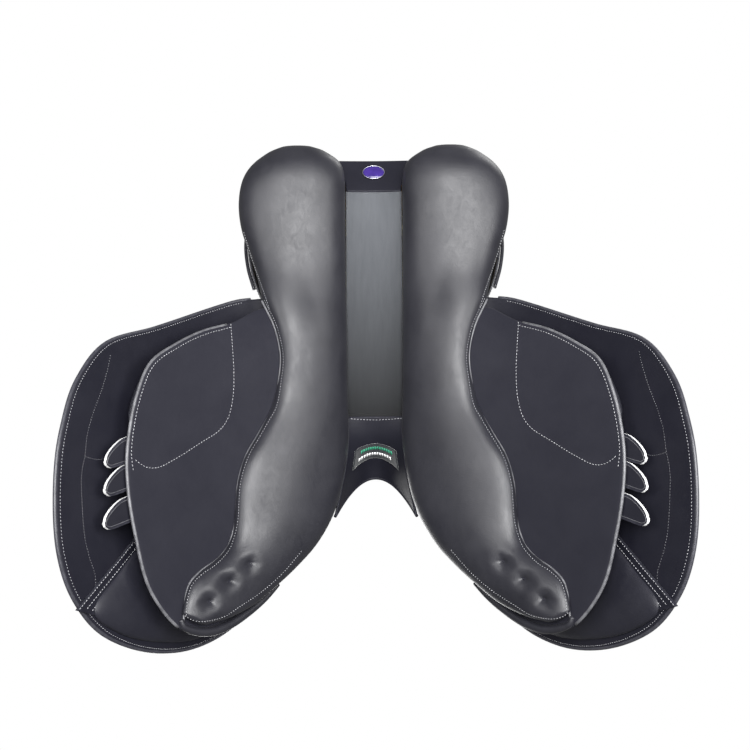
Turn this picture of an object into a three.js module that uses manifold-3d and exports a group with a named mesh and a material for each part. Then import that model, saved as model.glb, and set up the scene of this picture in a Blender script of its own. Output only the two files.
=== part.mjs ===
// English jumping saddle standing the right way up, as it sits on a horse. Millimetres.
// +Z is up, -Y points to the pommel (front), +Y to the cantle (rear), +X is the near (left) side.
// The origin is on the middle plane, at the level where the panels bear, under the narrowest part
// of the seat. Left-hand pieces are built first and mirrored to make the right-hand ones.

import * as THREE from 'three';
import Module from 'manifold-3d';

const kernel = await Module();
kernel.setup();
const { Manifold } = kernel;

const group = new THREE.Group();
group.name = 'english_saddle';

// ---------- driving dimensions ----------

const LEATHER = 3;
const FLAP_THICKNESS = 4;
const SKIRT_THICKNESS = 3.4;
const STRAP_WIDTH = 26;
const STRAP_THICKNESS = 4;
const CHANNEL_HALF_WIDTH = 34;
const COVER_THICKNESS = 2.4;
const FOAM_DEPTH = 15.5;
const TREE_THICKNESS = 8.5;
const CLEARANCE = 0.5;

// The line the flap and the skirt fold about, front end and rear end.
const HINGE_FRONT = new THREE.Vector3(98, -150, 20);
const HINGE_REAR = new THREE.Vector3(136, 92, 16);

// Seat: middle-line height, crown across the width and depth of the covered wall, all along Y.
const SEAT_HEIGHT = profile([
  [-150, 108], [-120, 106], [-80, 88], [-40, 74], [0, 66], [45, 62], [85, 65], [120, 73],
  [160, 90], [200, 114], [240, 142], [272, 160],
]);
const SEAT_CROWN = profile([
  [-150, -0.0085], [-110, -0.0075], [-70, -0.005], [-40, -0.0039], [0, -0.0032], [40, -0.002],
  [80, -0.0008], [120, -0.0003], [160, 0], [200, 0.0002], [272, 0.0002],
]);
const WALL_DEPTH = profile([
  [-150, 34], [-120, 24], [-90, 13], [-50, 8], [0, 6], [50, 8], [85, 11], [120, 20],
  [160, 32], [200, 46], [240, 68], [272, 82],
]);
const SEAT_OUTLINE = [
  [0, -131], [33, -128], [53, -114], [64, -88], [73, -48], [86, -5], [106, 38], [129, 75],
  [144, 105], [152.5, 132], [157, 165], [152, 205], [132, 239], [96, 261], [45, 270], [0, 272],
];
const SEAT_CENTRE = [0, 60];

// Tree: outside edge and the opening the webs span.
const TREE_OUTSIDE = [
  [0, -119], [27, -115], [47, -100], [59, -82], [72, -56], [78, -20], [85, 20], [103, 70],
  [120, 115], [128, 160], [121, 204], [92, 234], [45, 246], [0, 248],
];
const TREE_OPENING = [
  [0, -78], [17, -74], [29, -54], [36, -10], [46, 40], [60, 88], [74, 128], [76, 164],
  [60, 194], [30, 208], [0, 210],
];

// Channel between the panels: height of the lining along Y.
const LINING_HEIGHT = profile([
  [-50, 26], [0, 25], [50, 26.5], [100, 31], [150, 38], [200, 46], [224, 50],
]);
const LINING_FRONT = -49;
const LINING_REAR = 223;

// Front arch lining: its outer edge and its middle line, from the channel forward to the arch.
const ARCH_EDGE = [[33.4, -50, 24], [33.2, -75, 19], [36, -105, 12], [42, -138, 3], [48, -166, -4]];
const ARCH_MIDDLE = [[0, -50, 29], [0, -71, 35], [0, -91, 45], [0, -111, 56], [0, -127, 62]];

// Panel stations from the rear bulb to the front point:
// inner edge x, y, z, outer edge x, y, z, fullness below, fullness above.
const PANEL_STATIONS = [
  [80, 276, 40, 104, 276, 38, 9, 9],
  [57, 269.5, 40, 130, 267, 36, 21, 18],
  [40, 256, 40, 147, 253, 34, 30, 25],
  [35, 236, 38, 158, 235, 31, 35, 29],
  [34.8, 207, 36, 162.5, 207, 27, 35, 29],
  [34.8, 176, 35, 159, 176, 23, 33, 24],
  [34.8, 148, 33, 149.5, 148, 17, 31, 18],
  [35, 118, 30, 139, 118, 8, 28, 12],
  [35.3, 88, 27, 131, 88, -7, 26, 9],
  [35.6, 55, 24, 117, 55, -19, 24, 9],
  [35.8, 23, 22, 110, 23, -26, 22, 9],
  [35.6, -6, 21, 112, -6, -31, 21, 9],
  [35, -35, 20, 118, -35, -38, 21, 9],
  [34.3, -62, 18, 133, -66, -53, 22, 9],
  [35.5, -90, 14, 147, -92, -67, 22, 8],
  [39, -115, 8, 154, -120, -77, 22, 8],
  [45, -143, 0, 156, -150, -82, 22, 8],
  [56, -171, -10, 158, -173, -87, 22, 8],
  [72, -197, -26, 165, -190, -96, 20, 8],
  [92, -218, -44, 176, -201, -109, 18, 7],
  [113, -236, -63, 188, -209, -123, 16, 6],
  [136, -253, -86, 198, -220, -137, 14, 5],
  [160, -262, -114, 202, -234, -146, 11, 4],
  [181, -264, -138, 204, -248, -151, 7, 3],
];
const SECTION_POINTS = 14;
const SECTION_SQUARENESS = 2.4;

const FLAP_OUTLINE = [
  [137, 92], [160, 89], [185, 80], [243, 54], [284, 36], [305, -2], [313, -50], [315.5, -110],
  [311, -175], [299, -222], [277, -263], [240, -293], [204, -302], [168, -291], [135, -254],
  [110, -205], [99, -152],
];
const FLAP_CENTRE = [205, -105];
const SKIRT_OUTLINE = [
  [143, 58], [151, 52], [160, 26], [170, -8], [178, -48], [175, -88], [158, -122], [132, -139],
  [110, -139],
];
const SKIRT_CENTRE = [142, -45];
const SWEAT_OUTLINE = [
  [163, 61], [192, 51], [218, 35], [238, 17], [250, -20], [256, -75], [254, -115], [246, -165],
  [232, -222], [206, -266], [188, -278], [172, -280], [150, -268], [120, -240], [89, -209],
  [83, -179], [84, -140], [94, -106], [116, -80], [132, -50], [121, -33], [115.5, -6],
  [114, 23], [121, 53], [137, 77],
];
const SWEAT_CENTRE = [172, -95];
const KNEE_PAD_OUTLINE = [
  [248, -178], [270, -205], [287, -236], [266, -266], [238, -284], [204, -293], [174, -284],
  [158, -258], [172, -232], [210, -198],
];
const KNEE_BLOCK_OUTLINE = [
  [124, -150], [160, -158], [205, -180], [236, -192], [240, -206], [226, -234], [204, -254],
  [180, -240], [150, -208], [122, -174],
];
const THIGH_BLOCK_OUTLINE = [
  [165, 50], [200, 44], [230, 20], [245, -12], [249, -48], [238, -54], [224, -38], [208, -8],
  [180, 22],
];
const POCKET_OUTLINE = [[92, -118], [116, -128], [122, -140], [114, -146], [96, -150], [88, -138]];

// Girth straps: where each hangs along Y, and the run they share from root to tip.
const STRAP_ROOTS = { rear: -32, middle: -60.5, front: -94 };
const STRAP_ROOT_X = 123;
const STRAP_FLAT_FROM_X = 225;
const STRAP_FORWARD_SLOPE = -0.33;
const STRAP_FLAT_LENGTH = 74;

// Rings: where the straight side of each lies, wire size and the leather loop round it.
const FRONT_DEE = new THREE.Vector3(66, -138, 39.6);
const REAR_DEE = new THREE.Vector3(62, 268.9, 94);
const DEE_WIRE_RADIUS = 1.75;
const TAB_LOOP_RADIUS = 3.3;

const COLOURS = {
  leather: 0x24242b, lining: 0x4a4b52, webbing: 0xb9b2a0, foam: 0xd9cfa8, wood: 0x9a7448,
  steel: 0xa9adb2, brass: 0xb08d4a, badge: 0x33247a, label: 0x50525c,
};

// ---------- small tools ----------

// Smooth curve through [position, value] pairs.
function profile(pairs) {
  const slope = pairs.map((pair, i) => {
    const before = pairs[Math.max(i - 1, 0)];
    const after = pairs[Math.min(i + 1, pairs.length - 1)];
    return (after[1] - before[1]) / (after[0] - before[0]);
  });
  return (at) => {
    const last = pairs.length - 1;
    if (at <= pairs[0][0]) return pairs[0][1];
    if (at >= pairs[last][0]) return pairs[last][1];
    let i = 0;
    while (at > pairs[i + 1][0]) i += 1;
    const width = pairs[i + 1][0] - pairs[i][0];
    const t = (at - pairs[i][0]) / width;
    const t2 = t * t;
    const t3 = t2 * t;
    return (2 * t3 - 3 * t2 + 1) * pairs[i][1] + (t3 - 2 * t2 + t) * width * slope[i]
      + (3 * t2 - 2 * t3) * pairs[i + 1][1] + (t3 - t2) * width * slope[i + 1];
  };
}

function smoothstep(from, to, at) {
  const t = Math.min(Math.max((at - from) / (to - from), 0), 1);
  return t * t * (3 - 2 * t);
}

// Closed, smooth plan outline through control points.
function closedOutline(points, count) {
  const curve = new THREE.CatmullRomCurve3(points.map(([x, y]) => new THREE.Vector3(x, y, 0)), true);
  return curve.getSpacedPoints(count).slice(0, count).map((p) => [p.x, p.y]);
}

// Smooth plan outline whose last point is joined to its first by a straight edge.
function outlineWithStraightEdge(points, count, edgeCount) {
  const curve = new THREE.CatmullRomCurve3(points.map(([x, y]) => new THREE.Vector3(x, y, 0)));
  const outline = curve.getSpacedPoints(count).map((p) => [p.x, p.y]);
  const [fromX, fromY] = outline[count];
  const [toX, toY] = outline[0];
  for (let i = 1; i < edgeCount; i += 1) {
    const t = i / edgeCount;
    outline.push([fromX + t * (toX - fromX), fromY + t * (toY - fromY)]);
  }
  return outline;
}

// Both halves of an outline that is symmetric about the middle plane.
function symmetricOutline(half, count) {
  const right = half.slice(1, -1).reverse().map(([x, y]) => [-x, y]);
  return closedOutline([...half, ...right], count);
}

function bodyFrom(vertices, triangles) {
  const positions = new Float32Array(vertices.length * 3);
  vertices.forEach((v, i) => positions.set([v.x, v.y, v.z], 3 * i));
  let volume = 0;
  for (const [a, b, c] of triangles) {
    volume += vertices[a].dot(new THREE.Vector3().crossVectors(vertices[b], vertices[c]));
  }
  const outward = volume > 0 ? triangles : triangles.map(([a, b, c]) => [a, c, b]);
  const geometry = new THREE.BufferGeometry();
  geometry.setAttribute('position', new THREE.BufferAttribute(positions, 3));
  geometry.setIndex(outward.flat());
  geometry.computeVertexNormals();
  return geometry;
}

function middleOf(ring) {
  const sum = new THREE.Vector3();
  ring.forEach((p) => sum.add(p));
  return sum.divideScalar(ring.length);
}

// Closed body through rings of points, ended by fans to a start and an end point.
function ringSolid(rings, start = middleOf(rings[0]), end = middleOf(rings[rings.length - 1])) {
  const count = rings[0].length;
  const vertices = [start, ...rings.flat(), end];
  const triangles = [];
  const at = (ring, i) => 1 + ring * count + (i % count);
  for (let i = 0; i < count; i += 1) {
    triangles.push([0, at(0, i), at(0, i + 1)]);
    triangles.push([vertices.length - 1, at(rings.length - 1, i + 1), at(rings.length - 1, i)]);
    for (let r = 0; r < rings.length - 1; r += 1) {
      triangles.push([at(r, i), at(r + 1, i), at(r + 1, i + 1)]);
      triangles.push([at(r, i), at(r + 1, i + 1), at(r, i + 1)]);
    }
  }
  return bodyFrom(vertices, triangles);
}

// Closed ring-shaped body: the last ring of points joins the first.
function ringLoop(rings) {
  const count = rings[0].length;
  const triangles = [];
  const at = (ring, i) => (ring % rings.length) * count + (i % count);
  for (let r = 0; r < rings.length; r += 1) {
    for (let i = 0; i < count; i += 1) {
      triangles.push([at(r, i), at(r + 1, i), at(r + 1, i + 1)]);
      triangles.push([at(r, i), at(r + 1, i + 1), at(r, i + 1)]);
    }
  }
  return bodyFrom(rings.flat(), triangles);
}

// Closed plate between an upper and a lower grid of points with the same rows and columns.
function slab(upper, lower) {
  const rows = upper.length;
  const columns = upper[0].length;
  const offset = rows * columns;
  const vertices = [...upper.flat(), ...lower.flat()];
  const triangles = [];
  const quad = (a, b, c, d) => triangles.push([a, b, c], [a, c, d]);
  const at = (row, column) => row * columns + column;
  for (let r = 0; r < rows - 1; r += 1) {
    for (let c = 0; c < columns - 1; c += 1) {
      quad(at(r, c), at(r, c + 1), at(r + 1, c + 1), at(r + 1, c));
      quad(offset + at(r, c), offset + at(r + 1, c), offset + at(r + 1, c + 1), offset + at(r, c + 1));
    }
    quad(at(r, 0), at(r + 1, 0), offset + at(r + 1, 0), offset + at(r, 0));
    const end = columns - 1;
    quad(at(r + 1, end), at(r, end), offset + at(r, end), offset + at(r + 1, end));
  }
  for (let c = 0; c < columns - 1; c += 1) {
    const last = rows - 1;
    quad(at(0, c + 1), at(0, c), offset + at(0, c), offset + at(0, c + 1));
    quad(at(last, c), at(last, c + 1), offset + at(last, c + 1), offset + at(last, c));
  }
  return bodyFrom(vertices, triangles);
}

// A round bar along a path. The closed form joins its ends.
function roundBar(path, upright, radius, sides, closed = false) {
  const last = path.length - 1;
  const rings = path.map((p, i) => {
    const before = path[closed ? (i + last) % path.length : Math.max(i - 1, 0)];
    const after = path[closed ? (i + 1) % path.length : Math.min(i + 1, last)];
    const along = after.clone().sub(before).normalize();
    const across = new THREE.Vector3().crossVectors(along, upright).normalize();
    const over = new THREE.Vector3().crossVectors(across, along);
    return Array.from({ length: sides }, (_, k) => {
      const angle = (2 * Math.PI * k) / sides;
      return p.clone().addScaledVector(across, radius * Math.cos(angle))
        .addScaledVector(over, radius * Math.sin(angle));
    });
  });
  return closed ? ringLoop(rings) : ringSolid(rings);
}

// Point on a height surface, moved along the surface normal.
function liftedPoint(heightAt, x, y, offset) {
  const step = 0.5;
  const slopeX = (heightAt(x + step, y) - heightAt(x - step, y)) / (2 * step);
  const slopeY = (heightAt(x, y + step) - heightAt(x, y - step)) / (2 * step);
  const normal = new THREE.Vector3(-slopeX, -slopeY, 1).normalize();
  return new THREE.Vector3(x, y, heightAt(x, y)).addScaledVector(normal, offset);
}

// A sheet over a plan outline. Its two faces are offsets from a height surface; each offset may
// change from the centre (0) to the edge (1).
function sheet(outline, centre, heightAt, lower, upper, ringCount) {
  const ring = (s, offset) => outline.map(([x, y]) => liftedPoint(
    heightAt,
    centre[0] + s * (x - centre[0]),
    centre[1] + s * (y - centre[1]),
    offset,
  ));
  const rings = [];
  for (let i = 1; i <= ringCount; i += 1) rings.push(ring(i / ringCount, upper(i / ringCount)));
  for (let i = ringCount; i >= 1; i -= 1) rings.push(ring(i / ringCount, lower(i / ringCount)));
  return ringSolid(
    rings,
    liftedPoint(heightAt, centre[0], centre[1], upper(0)),
    liftedPoint(heightAt, centre[0], centre[1], lower(0)),
  );
}

function box(x0, x1, y0, y1, z0, z1) {
  return Manifold.cube([x1 - x0, y1 - y0, z1 - z0]).translate([x0, y0, z0]);
}

function fromManifold(solid) {
  const mesh = solid.getMesh();
  const vertices = [];
  for (let i = 0; i < mesh.vertProperties.length; i += mesh.numProp) {
    vertices.push(new THREE.Vector3(...mesh.vertProperties.slice(i, i + 3)));
  }
  const triangles = [];
  for (let i = 0; i < mesh.triVerts.length; i += 3) {
    triangles.push(Array.from(mesh.triVerts.slice(i, i + 3)));
  }
  return bodyFrom(vertices, triangles);
}

function mirrored(geometry) {
  const copy = geometry.clone();
  const position = copy.getAttribute('position');
  for (let i = 0; i < position.count; i += 1) position.setX(i, -position.getX(i));
  const index = Array.from(copy.getIndex().array);
  for (let i = 0; i < index.length; i += 3) [index[i + 1], index[i + 2]] = [index[i + 2], index[i + 1]];
  copy.setIndex(index);
  copy.computeVertexNormals();
  return copy;
}

function addPiece(name, geometry, colour, roughness = 0.55, metalness = 0) {
  const material = new THREE.MeshStandardMaterial({ color: colour, roughness, metalness });
  const mesh = new THREE.Mesh(geometry, material);
  mesh.name = name;
  group.add(mesh);
}

function addPair(name, geometry, colour, roughness, metalness) {
  addPiece(`${name}_left`, geometry, colour, roughness, metalness);
  addPiece(`${name}_right`, mirrored(geometry), colour, roughness, metalness);
}

// ---------- shared surfaces ----------

function seatTop(x, y) {
  return SEAT_HEIGHT(y) + SEAT_CROWN(y) * x * x;
}

function hingeAt(y) {
  const t = (y - HINGE_FRONT.y) / (HINGE_REAR.y - HINGE_FRONT.y);
  return HINGE_FRONT.clone().lerp(HINGE_REAR, t);
}

// Underside of the outer flap: it leaves the fold line and falls ever more steeply.
function flapSurface(x, y) {
  const drop = (r) => 82 - (0.98 - 0.0008 * y) * (r - 88) - 0.0013 * (r - 88) ** 2
    + 14 * smoothstep(-80, 20, y);
  const fold = hingeAt(y);
  return drop(x) + (fold.z - drop(fold.x)) * Math.exp(-(x - fold.x) / 40);
}

// Underside of the sweat flap, the surface that lies against the horse.
function sweatSurface(x, y) {
  return 0.0035 * Math.max(0, y) ** 2 - (0.5 - 0.0012 * y) * (x - 60) - 0.0015 * (x - 60) ** 2;
}

// ---------- seat ----------

const seatOutline = symmetricOutline(SEAT_OUTLINE, 38);

function scaledSeatPoint([x, y], scale, below) {
  const px = SEAT_CENTRE[0] + scale * (x - SEAT_CENTRE[0]);
  const py = SEAT_CENTRE[1] + scale * (y - SEAT_CENTRE[1]);
  return new THREE.Vector3(px, py, seatTop(px, py) - below);
}

function wallPoint([x, y], part, inset) {
  const depth = WALL_DEPTH(y);
  const scale = 1 - inset - 0.0004 * depth * part;
  const px = SEAT_CENTRE[0] + scale * (x - SEAT_CENTRE[0]);
  const py = SEAT_CENTRE[1] + scale * (y - SEAT_CENTRE[1]);
  return new THREE.Vector3(px, py, seatTop(x, y) - 4 - depth * part);
}

// The leather seat: a lid with a rounded rim and a wall that turns under the cantle and pommel.
function seatCover() {
  const outside = [0.25, 0.45, 0.63, 0.79, 0.91, 0.975];
  const rings = outside.map((s) => seatOutline.map((p) => scaledSeatPoint(p, s, 0)));
  for (const part of [0, 0.5, 1]) rings.push(seatOutline.map((p) => wallPoint(p, part, 0)));
  for (const part of [1, 0.5, 0.02]) rings.push(seatOutline.map((p) => wallPoint(p, part, 0.024)));
  for (const s of [0.955, ...outside.slice(0, -1).reverse()]) {
    rings.push(seatOutline.map((p) => scaledSeatPoint(p, s, COVER_THICKNESS)));
  }
  return ringSolid(
    rings,
    scaledSeatPoint(SEAT_CENTRE, 1, 0),
    scaledSeatPoint(SEAT_CENTRE, 1, COVER_THICKNESS),
  );
}

// Foam under the leather, thinner towards its edge.
function seatFoam() {
  const top = COVER_THICKNESS + 2.3;
  const scales = [0.25, 0.45, 0.63, 0.79, 0.91];
  const ring = (s, below) => seatOutline.map((p) => scaledSeatPoint(p, s, below));
  const bottom = (s) => top + FOAM_DEPTH * (1 - 0.3 * s ** 4);
  return ringSolid(
    [...scales.map((s) => ring(s, top)), ...scales.reverse().map((s) => ring(s, bottom(s)))],
    scaledSeatPoint(SEAT_CENTRE, 1, top),
    scaledSeatPoint(SEAT_CENTRE, 1, bottom(0)),
  );
}

const TREE_TOP_BELOW_SEAT = COVER_THICKNESS + FOAM_DEPTH + 6.4;

// Laminated spring tree: a saddle-shaped ring with an opening for the webs.
function tree() {
  const count = 36;
  const outside = symmetricOutline(TREE_OUTSIDE, count);
  const inside = symmetricOutline(TREE_OPENING, count);
  const ring = (part, below) => outside.map(([x, y], i) => {
    const px = inside[i][0] + part * (x - inside[i][0]);
    const py = inside[i][1] + part * (y - inside[i][1]);
    return new THREE.Vector3(px, py, seatTop(px, py) - below);
  });
  const top = TREE_TOP_BELOW_SEAT;
  const bottom = top + TREE_THICKNESS;
  return ringLoop([ring(0, top), ring(0.5, top), ring(1, top), ring(1, bottom), ring(0.5, bottom),
    ring(0, bottom)]);
}

// A webbing band nailed across the top of the tree.
function seatWeb(y, halfWidth) {
  const bandWidth = 46;
  const rows = [-1, 0, 1].map((side) => Array.from({ length: 9 }, (_, i) => [
    halfWidth * (i / 4 - 1),
    y + (side * bandWidth) / 2,
  ]));
  const at = (below) => rows.map((row) => row.map(([x, py]) => (
    new THREE.Vector3(x, py, seatTop(x, py) - below))));
  return slab(at(TREE_TOP_BELOW_SEAT - 2.6), at(TREE_TOP_BELOW_SEAT - 1.1));
}

// Steel head plate: a strip bent into an arch, riveted under the pommel of the tree.
function headPlate() {
  const arch = [[0, 66], [24, 62], [41, 50], [54, 34], [63, 21], [69, 12]];
  const half = new THREE.CatmullRomCurve3(arch.map(([x, z]) => new THREE.Vector3(x, 0, z)))
    .getSpacedPoints(8);
  const line = [...half.slice(1).reverse().map((p) => [-p.x, p.z]), ...half.map((p) => [p.x, p.z])];
  const normalAt = (i) => {
    const [x0, z0] = line[Math.max(i - 1, 0)];
    const [x1, z1] = line[Math.min(i + 1, line.length - 1)];
    return new THREE.Vector3(z0 - z1, 0, x1 - x0).normalize();
  };
  const rows = (offset) => [[-112, 0], [-86, -11]].map(([y, dip]) => line.map(([x, z], i) => (
    new THREE.Vector3(x, y, z + (dip * z) / 66).addScaledVector(normalAt(i), offset))));
  return slab(rows(2), rows(-2));
}

// Piping round the rim of the cantle.
function cantleWelt() {
  const rim = new THREE.CatmullRomCurve3(
    [...SEAT_OUTLINE.slice(8).map(([x, y]) => [x, y]),
      ...SEAT_OUTLINE.slice(8, -1).reverse().map(([x, y]) => [-x, y])]
      .map(([x, y]) => new THREE.Vector3(
        1.024 * x,
        SEAT_CENTRE[1] + 1.024 * (y - SEAT_CENTRE[1]),
        seatTop(x, y) - 4,
      )),
  );
  return roundBar(rim.getSpacedPoints(26), new THREE.Vector3(0, 0, 1), 2.2, 6);
}

addPiece('seat_cover', seatCover(), COLOURS.leather, 0.45);
addPiece('seat_foam', seatFoam(), COLOURS.foam, 0.9);
addPiece('tree', tree(), COLOURS.wood, 0.7);
addPiece('seat_web_front', seatWeb(20, 56), COLOURS.webbing, 0.9);
addPiece('seat_web_middle', seatWeb(84, 80), COLOURS.webbing, 0.9);
addPiece('seat_web_rear', seatWeb(150, 96), COLOURS.webbing, 0.9);
addPiece('head_plate', headPlate(), COLOURS.steel, 0.4, 0.9);
addPiece('cantle_welt', cantleWelt(), COLOURS.leather, 0.5);

// ---------- panels and channel ----------

// Stuffed panel: rounded sections between an inner and an outer seam. Where the sweat flap lies
// on top of the panel the section is pressed flat under it.
function panel() {
  const rings = PANEL_STATIONS.map(([ax, ay, az, bx, by, bz, below, above], station) => {
    const inner = new THREE.Vector3(ax, ay, az);
    const outer = new THREE.Vector3(bx, by, bz);
    const centre = inner.clone().lerp(outer, 0.5);
    const across = outer.clone().sub(inner);
    const halfWidth = across.length() / 2;
    across.normalize();
    const next = PANEL_STATIONS[Math.min(station + 1, PANEL_STATIONS.length - 1)];
    const previous = PANEL_STATIONS[Math.max(station - 1, 0)];
    const along = new THREE.Vector3(
      next[0] + next[3] - previous[0] - previous[3],
      next[1] + next[4] - previous[1] - previous[4],
      next[2] + next[5] - previous[2] - previous[5],
    ).normalize();
    const upward = new THREE.Vector3().crossVectors(along, across).normalize();
    if (upward.z < 0) upward.negate();
    return Array.from({ length: SECTION_POINTS }, (_, i) => {
      const angle = (2 * Math.PI * i) / SECTION_POINTS;
      const power = 2 / SECTION_SQUARENESS;
      const side = Math.sign(Math.cos(angle)) * Math.abs(Math.cos(angle)) ** power;
      const rise = Math.sign(Math.sin(angle)) * Math.abs(Math.sin(angle)) ** power;
      const point = centre.clone().addScaledVector(across, halfWidth * side)
        .addScaledVector(upward, rise * (rise > 0 ? above : below));
      if (point.y < -48 && point.x > 70) {
        point.z = Math.min(point.z, sweatSurface(point.x, point.y) - 0.9);
      }
      return point;
    });
  });
  return ringSolid(rings);
}

function channelLining() {
  const rows = [];
  for (let i = 0; i <= 10; i += 1) {
    rows.push(LINING_FRONT + (i / 10) * (LINING_REAR - LINING_FRONT));
  }
  const grid = (offset) => rows.map((y) => [-1, -0.5, 0, 0.5, 1].map((u) => (
    new THREE.Vector3(CHANNEL_HALF_WIDTH * u, y, LINING_HEIGHT(y) + 3 * (1 - u * u) + offset))));
  return slab(grid(1), grid(-1));
}

// Leather strip that closes the channel behind, rising from the lining to the cantle.
function rearFacingPoint(u, v, offset) {
  const halfWidth = 33.6 - 1.4 * v;
  const fall = new THREE.Vector3(0, -0.52, 0.854);
  return new THREE.Vector3(halfWidth * u, 225 + 39.5 * v, LINING_HEIGHT(224) + 2.5 * (1 - u * u) + 19.5 * v)
    .addScaledVector(fall, offset);
}

// Leather lining of the front arch.
const archEdge = new THREE.CatmullRomCurve3(ARCH_EDGE.map((p) => new THREE.Vector3(...p)));
const archMiddle = new THREE.CatmullRomCurve3(ARCH_MIDDLE.map((p) => new THREE.Vector3(...p)));

function archPoint(u, v, offset) {
  const at = (pu, pv) => {
    const edge = archEdge.getPoint(pv);
    const middle = archMiddle.getPoint(pv);
    return new THREE.Vector3(
      edge.x * pu,
      middle.y + (edge.y - middle.y) * pu * pu,
      middle.z + (edge.z - middle.z) * Math.abs(pu) ** 2.3,
    );
  };
  const alongU = at(u + 0.01, v).sub(at(u - 0.01, v));
  const alongV = at(u, Math.min(v + 0.01, 1)).sub(at(u, Math.max(v - 0.01, 0)));
  const normal = new THREE.Vector3().crossVectors(alongV, alongU).normalize();
  return at(u, v).addScaledVector(normal, offset);
}

function patch(pointAt, uRange, vRange, columns, rowCount, lower, upper) {
  const grid = (offset) => Array.from({ length: rowCount + 1 }, (_, r) => (
    Array.from({ length: columns + 1 }, (_unused, c) => pointAt(
      uRange[0] + ((uRange[1] - uRange[0]) * c) / columns,
      vRange[0] + ((vRange[1] - vRange[0]) * r) / rowCount,
      offset,
    ))));
  return slab(grid(upper), grid(lower));
}

// Oval badge on the rear facing.
function rearBadge() {
  const rim = (offset) => Array.from({ length: 20 }, (_, i) => {
    const angle = (2 * Math.PI * i) / 20;
    return rearFacingPoint(0, 0.5, offset - 2.5)
      .add(new THREE.Vector3(13 * Math.cos(angle), 8.54 * Math.sin(angle), 5.2 * Math.sin(angle)));
  });
  return ringSolid([rim(-0.4), rim(-2)]);
}

addPair('panel', panel(), COLOURS.leather, 0.5);
addPiece('channel_lining', channelLining(), COLOURS.lining, 0.9);
addPiece('rear_facing', patch(rearFacingPoint, [-1, 1], [0, 1], 4, 3, -1.2, 1.2), COLOURS.leather);
addPiece('front_facing', patch(archPoint, [-1, 1], [0, 1], 12, 6, -1.2, 1.2), COLOURS.leather);
addPiece('rear_badge', rearBadge(), COLOURS.badge, 0.3);
addPiece('front_label', patch(archPoint, [-0.62, 0.62], [0.4, 0.66], 6, 2, -2.9, -2),
  COLOURS.label, 0.8);

// ---------- flaps, skirts and sweat flaps ----------

const flapOutline = outlineWithStraightEdge(FLAP_OUTLINE, 36, 6);
const flap = sheet(flapOutline, FLAP_CENTRE, flapSurface, () => 0, () => FLAP_THICKNESS, 4);
addPair('flap', flap, COLOURS.leather, 0.5);

const skirtOutline = outlineWithStraightEdge(SKIRT_OUTLINE, 20, 5);
const skirtGap = FLAP_THICKNESS + 1.2;
const skirt = sheet(skirtOutline, SKIRT_CENTRE, flapSurface, () => skirtGap,
  () => skirtGap + SKIRT_THICKNESS, 3);
addPair('skirt', skirt, COLOURS.leather, 0.45);

const sweatOutline = closedOutline(SWEAT_OUTLINE, 40);
const sweatFlap = sheet(sweatOutline, SWEAT_CENTRE, sweatSurface, () => 0, () => LEATHER, 3);
addPair('sweat_flap', sweatFlap, COLOURS.leather, 0.6);

// Pads bulge most at their middle and thin out to a soft edge.
function pad(outline, centre, heightAt, base, height, towards) {
  const rise = (s) => base + towards * (2 + (height - 2) * Math.sqrt(Math.max(0, 1 - s ** 3)));
  const flat = () => base;
  const smooth = closedOutline(outline, 18);
  return towards > 0
    ? sheet(smooth, centre, heightAt, flat, rise, 3)
    : sheet(smooth, centre, heightAt, rise, flat, 3);
}

addPair('knee_pad', pad(KNEE_PAD_OUTLINE, [224, -242], flapSurface, -CLEARANCE, 12, -1),
  COLOURS.leather, 0.5);
addPair('knee_block', pad(KNEE_BLOCK_OUTLINE, [186, -206], sweatSurface, LEATHER + 1, 18, 1),
  COLOURS.leather, 0.55);
addPair('thigh_block', pad(THIGH_BLOCK_OUTLINE, [221, 2], sweatSurface, LEATHER + 1.8, 15, 1),
  COLOURS.leather, 0.55);
addPair('point_pocket', sheet(closedOutline(POCKET_OUTLINE, 14), [104, -136], sweatSurface,
  () => LEATHER + CLEARANCE, () => LEATHER + CLEARANCE + 2.5, 2), COLOURS.leather, 0.6);

// Fixed upper part of the skirt, from under the seat edge out to the fold line.
function halfWidthAt(y) {
  const points = SEAT_OUTLINE.filter(([, py]) => py > -130 && py < 150);
  return profile(points.map(([x, py]) => [py, x]))(y);
}

function skirtTopPoint(y, u, offset) {
  const seatY = -118 + ((y + 140) / 196) * 174;
  const half = halfWidthAt(seatY);
  const start = new THREE.Vector3(half - 3, seatY, seatTop(half, seatY) - 7.5 - WALL_DEPTH(seatY));
  const fold = hingeAt(y);
  const end = new THREE.Vector3(fold.x - 8, y, fold.z + 14.5);
  const width = end.x - start.x;
  const point = start.lerp(end, u);
  point.z += 0.12 * width * Math.sin(Math.PI * u) - offset;
  return point;
}

function skirtTop() {
  const rows = Array.from({ length: 10 }, (_, i) => -140 + (i / 9) * 196);
  const grid = (offset) => rows.map((y) => (
    [0, 0.25, 0.5, 0.75, 1].map((u) => skirtTopPoint(y, u, offset))));
  return slab(grid(0), grid(LEATHER));
}

// Fixed root of the flap, nailed under the tree and ending just short of the fold line.
function flapRoot() {
  const rows = Array.from({ length: 8 }, (_, i) => -140 + (i / 7) * 228);
  const at = (y, u, offset) => {
    const fold = hingeAt(y);
    const inner = fold.x - 30;
    return new THREE.Vector3(inner + u * 24.5, y, 14.2 + u * (fold.z - 15.2) - offset);
  };
  const grid = (offset) => rows.map((y) => [0, 0.5, 1].map((u) => at(y, u, offset)));
  return slab(grid(-2.2), grid(0));
}

addPair('skirt_top', skirtTop(), COLOURS.leather, 0.45);
addPair('flap_root', flapRoot(), COLOURS.leather, 0.6);

// ---------- girth straps and their webs ----------

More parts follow.
